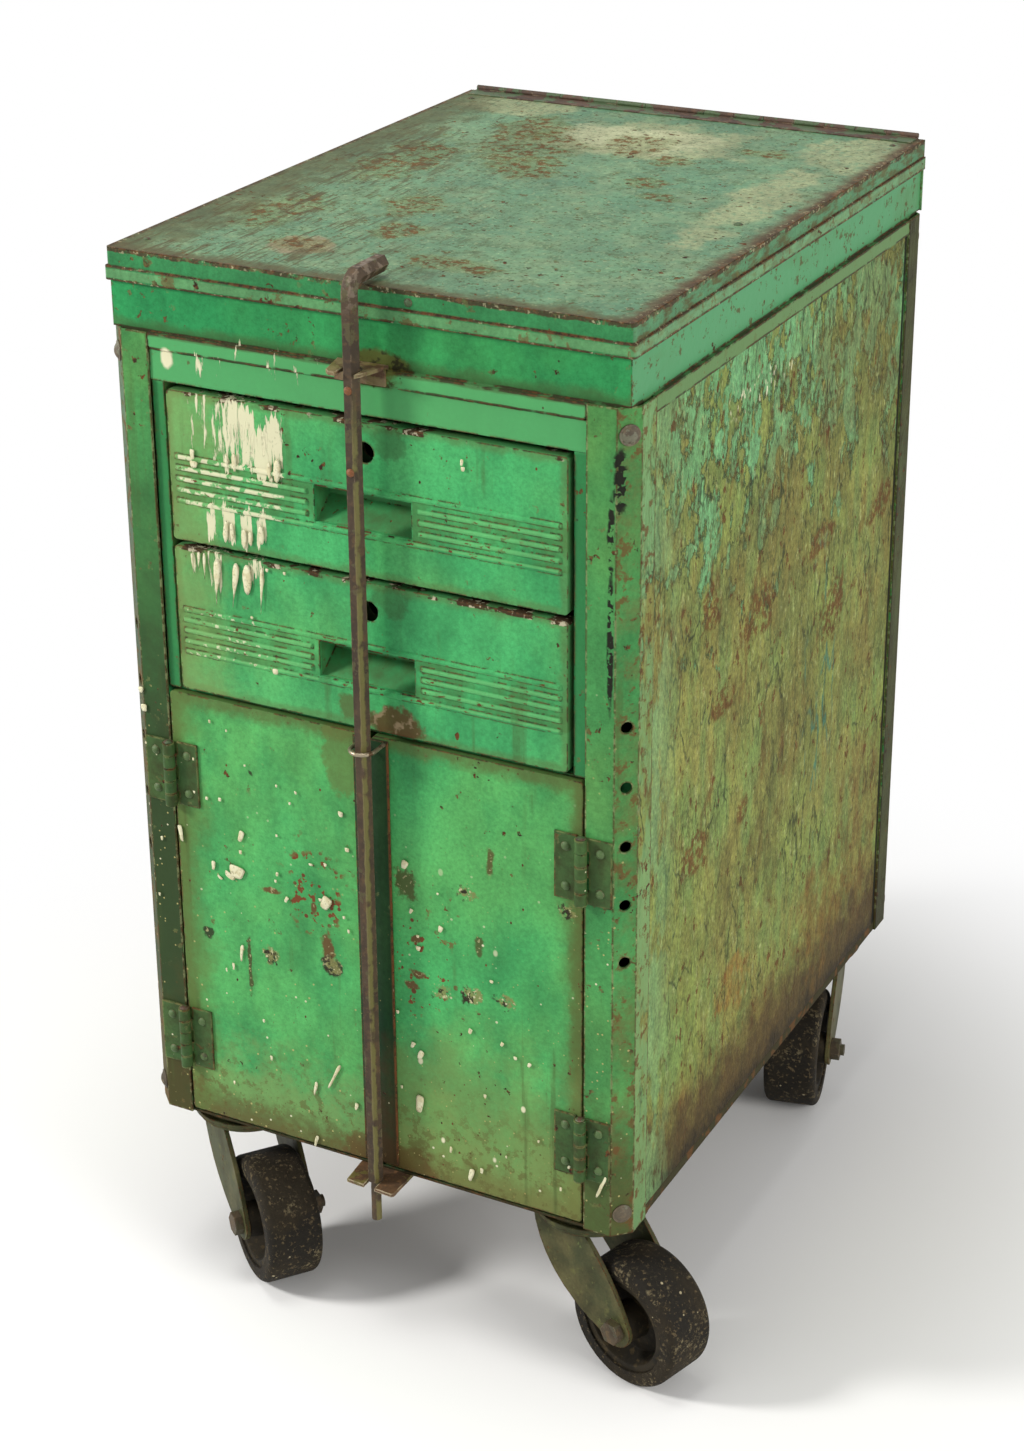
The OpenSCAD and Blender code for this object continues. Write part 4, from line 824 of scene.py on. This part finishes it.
paint_drops("right_door_drops", "door_right", RIGHT_FACE, 2, [
    (30, 456, 7.4, 8, 20), (39, 233, 8.4, 17, 8), (41, 281, 5.6, 9.6, 25), (34, 289, 4.2, 5.6, 20),
    (20.5, 317, 3.2, 3.6), (62, 405, 5, 6.4, 20), (35, 415, 3.8, 5, 20), (41, 382, 5, 4),
    (88, 317, 4.2, 5.6, 20), (117, 313, 3.4, 4, 20), (129, 303, 3.8, 3.6), (142, 300, 3.4, 5, 30),
    (101, 259, 3, 3.6), (108, 369, 3.8, 2.9), (68, 197, 2.6, 6.4, 10), (87, 178, 5.4, 12, 12),
    (97, 185, 3.4, 5, 10), (41, 393, 3, 3), (60, 437, 2.2, 2.2), (22.5, 245, 2.6, 3), (150, 230, 2.4, 2.6),
    (170, 190, 2.6, 4), (120, 206, 2.2, 2.6), (178, 214, 2.8, 4, 15),
])
paint_drops("upper_drawer_drops", "drawer_upper", LEFT_FACE, 3, [
    (-125, 716, 5, 19, 5, DAB), (-119, 717, 4, 16, 0, DAB), (-108, 713, 5.5, 17, 2, DAB),
    (-102, 714, 4, 13, 0, DAB), (-92, 719, 6, 16, -2, DAB), (-153, 776, 5, 9), (-152, 768, 8, 6),
    (-75, 775, 7, 20, 5, DAB), (-82, 774, 4, 15, 0, DAB), (-114, 776, 5, 16, 0, DAB),
    (-121, 775, 4, 12, 0, DAB), (88, 809, 3.2, 5), (89, 804, 4.2, 4.2),
])
paint_drops("lower_drawer_drops", "drawer_lower", LEFT_FACE, 4, [
    (-158, 683, 4, 18, -4, RUN), (-152, 686, 4.5, 16, 2, RUN), (-147, 682, 5, 24, 0, RUN),
    (-136, 671, 11, 40, 4, RUN), (-119, 671, 10, 40, 7, RUN), (-107, 678, 9, 26, 2, DAB),
    (-94, 671, 6, 42, 4, RUN), (-84, 603, 7.4, 4.8), (-88, 690, 3.4, 3), (-72, 690, 3, 2.4),
    (-104, 646, 3, 2.4),
])
paint_drops("post_drops", "cabinet", POST_FACE, 5, [
    (-216, 560, 5.5, 6), (-214, 544, 7, 7), (207.5, 205, 3.4, 26, 22), (-214, 512, 3, 3), (-204, 425, 3, 4),
    (-210, 370, 2.4, 3),
])
for shape in drop_shapes:
    bpy.data.objects.remove(shape)

# Lid
# A shallow pressed tray, upside down, rubbed dull on top by years of tools set down on it.
lid = Finish("lid_enamel", (50, 122, 72), 0.45, seed=300)
top = lid.side(2)
under = lid.side(2, -1.0)
walls = ~(top | under)
right_rim = lid.side(0)
lid.lay(right_rim, (74, 122, 84), 0.5)
worn = right_rim.patch(0.02, 0.44, 0.6, detail=7, rough=0.7, tall=3)
lid.lay(worn, (84, 78, 48), 0.7, share=0.85)
lid.lay(top, (90, 128, 94), 0.46)
lid.lay(top.patch(0.12, 0.4, 0.62, detail=6), (76, 118, 88), share=0.8)
lid.lay(top.patch(0.035, 0.44, 0.64, detail=8, rough=0.72), (116, 138, 102), 0.5, share=0.65)
lid.lay(top.patch(0.02, 0.5, 0.64, detail=8, rough=0.74), (72, 96, 62), 0.5, share=0.75)
faded = (
    lid.near((10, 190, 934), (88, 62, 60), 0.6, 0.04)
    | lid.near((-150, 262, 934), (50, 36, 60), 0.6, 0.04)
    | lid.near((176, 40, 934), (26, 150, 60), 0.7, 0.04)
    | lid.near((192, 230, 934), (40, 70, 60), 0.7, 0.04)
)
dusty = top * faded * lid.patch(0.008, 0.34, 0.5, detail=6, rough=0.7)
lid.lay(dusty, (146, 152, 116), 0.6, share=0.8)
chalk = top * lid.near((-4, 186, 934), (72, 48, 60), 0.45, 0.03)
chalk = chalk.patch(0.006, 0.3, 0.48, detail=6, rough=0.7)
lid.lay(chalk, (170, 172, 138), 0.6, share=0.8)
lid.lay(top * lid.near((-92, -231, 934), (26, 24, 30)), (140, 122, 98), 0.6, share=0.8)
# Rust comes through in loose clusters of flecks, each round a worn spot
for spot, radii in (
    ((-42, 60), (36, 40)), ((-70, -89), (30, 34)), ((-77, 130), (50, 60)), ((-100, 190), (40, 40)),
    ((38, -228), (50, 20)), ((-40, -160), (26, 26)), ((70, 60), (22, 18)), ((96, 20), (20, 14)),
    ((-92, -231), (30, 22)), ((10, 170), (34, 40)), ((60, 130), (20, 16)), ((120, 190), (26, 16)),
    ((-150, 40), (36, 90)), ((-160, -150), (30, 60)),
):
    worn_spot = lid.near(spot + (934,), radii + (20,), 0.5, 0.03)
    level = lid.noise(0.009, detail=8, rough=0.72) + worn_spot * 0.1
    fleck = top * worn_spot * level.ease(0.6, 0.66)
    lid.lay(top * worn_spot, (100, 112, 66), 0.6, share=0.45)
    lid.lay(fleck, (98, 66, 36), 0.8, rise=-0.0002, share=0.9)
lid.lay(top.patch(0.012, 0.6, 0.64, detail=7, rough=0.72), (86, 66, 40), 0.75, share=0.85)
lid.lay(top.patch(0.0035, 0.55, 0.66, detail=5), (66, 82, 54), 0.7, share=0.65)
lid.lay(top.patch(0.004, 0.58, 0.68, detail=5), (158, 172, 134), 0.6, share=0.5)
worn_left = (lid.x + lid.y * 0.3).ease(0.06, -0.2)
for hair, turn in ((0.005, -0.25), (0.004, 0.2), (0.009, -0.1)):
    scuffs = lid.patch(hair, 0.54, 0.63, detail=5, rough=0.68, wide=(1, 0.1), turn=(0, 0, turn))
    lid.lay(top * scuffs * lid.patch(0.07, 0.4, 0.54) * worn_left, (72, 62, 36), 0.6, share=0.85)
lid.smoke(top * lid.x.ease(-0.13, -0.225), (76, 72, 44), 0.7, size=0.03)
lid.smoke(top * lid.y.ease(-0.27, -0.3), (78, 72, 48), 0.8, size=0.02)
lid.smoke(top * lid.x.ease(0.2, 0.226), (84, 62, 44), 0.8, size=0.02)
top_edge = lid.y.ease(-0.2955, -0.302) | lid.x.ease(0.2165, 0.225) | lid.x.ease(-0.2195, -0.225)
rim_dark = top * (top_edge | lid.y.ease(0.28, 0.3))
lines = [
    lid.z.strip(low, high, ragged)
    for low, high, ragged in ((0.931, 0.936, 0.0016), (0.9183, 0.9204, 0.0004), (0.9078, 0.9102, 0.0008))
]
rim_dark = rim_dark | walls * (lines[0] | lines[1] | lines[2])
lid.lay(rim_dark.patch(0.018, 0.4, 0.5, detail=6, rough=0.66), (64, 48, 34), 0.7, share=0.9)
lid.lay(rim_dark.patch(0.006, 0.54, 0.6), (108, 78, 52), 0.6, share=0.55)
lid.lay(rim_dark.patch(0.004, 0.6, 0.64), (196, 190, 150), 0.6, share=0.4)
bead = walls * lid.z.strip(0.9085, 0.9185, 0.001)
lid.lay(bead * lid.z.strip(0.9106, 0.9176, 0.0006), (112, 152, 104), 0.45, share=0.45)
lid.lay(bead.patch(0.014, 0.57, 0.61, detail=6, rough=0.68), (98, 70, 40), 0.7, share=0.65)
chipping(lid, 0.035)
lid.lay(under.patch(0.1, 0.4, 0.62, detail=5), (58, 104, 64), 0.5, share=0.8)
lid.smoke(under * 0.4, GRIME, 0.6, size=0.06)
lid.mottle(0.003, 0.26, detail=5, rough=0.75)
lid.mottle(0.012, 0.22, detail=5, rough=0.7)
lid.mottle(0.06, 0.2, detail=4, rough=0.6)
dress(lid.done(), "lid_shell")

# Hinge leaves, plates and the forged bar
# Plain steel that has rusted to an even brown, with paint left in its low places.


def rusted(name, seed, paint, left_on, base):
    """Bare steel of a base colour, with a share of its paint left on."""
    steel = Finish(name, base, 0.6, seed, round_edge=0.001, sheen=0.4)
    darker, lighter = [0.78 * c for c in base], [1.35 * c for c in base]
    steel.lay(steel.patch(0.03, 0.4, 0.6, detail=5), darker, 0.7)
    steel.lay(steel.patch(0.006, 0.5, 0.66, detail=5), lighter, 0.75, share=0.6)
    left = steel.patch(0.02, 1 - left_on, 1.02 - left_on, detail=6, rough=0.65)
    steel.lay(left, paint, 0.5, rise=0.0002, share=0.85)
    steel.lay(steel.edges() * steel.patch(0.01, 0.5, 0.6), (138, 118, 92), 0.4, share=0.6)
    steel.mottle(0.003, 0.2, detail=5, rough=0.7)
    steel.relief(steel.noise(0.003, detail=5, rough=0.7), 0.0004)
    return steel


bar = rusted("bar_steel", 330, (72, 66, 34), 0.42, (64, 48, 29))
ridge = bar.x.strip(0.0062, 0.0092, 0.0008, 0.012) * bar.z.ease(0.87, 0.8)
bar.lay(ridge.patch(0.02, 0.34, 0.46, detail=5), (104, 98, 48), 0.5, rise=0.0002, share=0.85)
# Pale shiny patches on the hook's bend: bare steel, and also a painted highlight on the bend.
bend = bar.z.ease(0.915, 0.93) * bar.patch(0.008, 0.5, 0.6)
bar.lay(bend, (138, 122, 104), 0.35, share=0.4)
dress(bar.done(), "lock_bar")
dress(rusted("rivet_steel", 345, (120, 70, 34), 0.5, (124, 78, 46)).done(), "lock_bar_rivets")

wire = Finish("loop_wire", (150, 138, 116), 0.35, metallic=0.7, sheen=0.5, seed=347)
wire.lay(wire.patch(0.008, 0.5, 0.6, detail=4), (84, 62, 42), 0.6)
dress(wire.done(), "door_left_loop")

guides = rusted("guide_steel", 350, (98, 90, 44), 0.46, (88, 62, 38))
# The front lip of each guide plate is pale and shiny: worn bare steel, and also a painted highlight along its
# edge.
lip_wear_and_highlight = guides.edges(0.02, 0.08) * guides.y.ease(-0.312, -0.324)
guides.lay(lip_wear_and_highlight.patch(0.012, 0.4, 0.5), (186, 172, 140), 0.35, share=0.85)
guides.lay(guides.z.ease(0.5, 0.6) * guides.patch(0.01, 0.4, 0.6), (128, 112, 78), 0.5, share=0.7)
dress(guides.done(), "guide_plate_top", "guide_plate_bottom")
hinges = rusted("hinge_steel", 370, (60, 84, 50), 0.5, (70, 50, 36))
dress(hinges.done(), "door_hinge_pins", "lid_hinge_fixed", "lid_hinge_leaf", "lid_hinge_pin", "lid_screws")
rivets = rusted("leaf_rivet_steel", 380, (74, 100, 54), 0.6, (70, 76, 46))
dress(rivets.done(), "post_hinge_rivets", "door_left_rivets", "door_right_rivets")
dress(rusted("bolt_steel", 390, (104, 104, 84), 0.46, (84, 74, 58)).done(), "post_bolts", "caster_bolts")

# Casters
# Pressed forks with a dull olive coat, on ball races, and cast wheels with black rubber tyres.
CORNERS = ("front_left", "front_right", "rear_right", "rear_left")
forks = Finish("fork_enamel", (90, 86, 54), 0.5, seed=420)
forks.lay(forks.patch(0.05, 0.4, 0.62, detail=5), (54, 62, 38), share=0.8)
forks.smoke(0.45, (50, 44, 28), 0.75, size=0.03)
forks.lay(forks.patch(0.012, 0.56, 0.64, detail=6, rough=0.7), (96, 96, 56), 0.6, share=0.6)
chipping(forks, 0.02)
forks.mottle(0.003, 0.22, detail=5, rough=0.7)
forks.lay(forks.dots(0.012, 0.2, 0.0016), BEIGE, 0.6, share=0.9)
dress(forks.done(), "caster_plates", *["fork_" + corner for corner in CORNERS])

cores = Finish("wheel_iron", (44, 38, 27), 0.6, seed=440)
cores.lay(cores.patch(0.03, 0.42, 0.62, detail=5), (30, 27, 21), 0.7)
cores.lay(cores.patch(0.006, 0.55, 0.68, detail=4), (80, 68, 46), 0.8, share=0.6)
cores.relief(cores.noise(0.004, detail=5, rough=0.7), 0.0005)
dress(cores.done(), *["wheel_" + corner for corner in CORNERS])
axles = rusted("axle_steel", 450, (64, 60, 36), 0.5, (72, 58, 38))
dress(axles.done(), *["axle_" + corner for corner in CORNERS])

tyres = Finish("tyre_rubber", (34, 31, 26), 0.75, round_edge=0.001, seed=470)
tyres.lay(tyres.patch(0.04, 0.42, 0.62, detail=5), (46, 40, 30), 0.8)
mud = tyres.patch(0.004, 0.56, 0.64, detail=5, rough=0.7)
tyres.lay(mud, (108, 94, 70), 0.9, rise=0.0004, share=0.85)
packed = tyres.patch(0.03, 0.5, 0.6, detail=5) * tyres.patch(0.0045, 0.52, 0.6, detail=6, rough=0.75)
tyres.lay(packed, (134, 122, 94), 0.95, rise=0.0004, share=0.8)
tyres.lay(tyres.dots(0.007, 0.14, 0.0015), (178, 166, 134), 0.9)
tyres.mottle(0.003, 0.3, detail=6, rough=0.7)
tyres.relief(tyres.noise(0.003, detail=6, rough=0.75), 0.0009)
dress(tyres.done(), *["tyre_" + corner for corner in CORNERS])
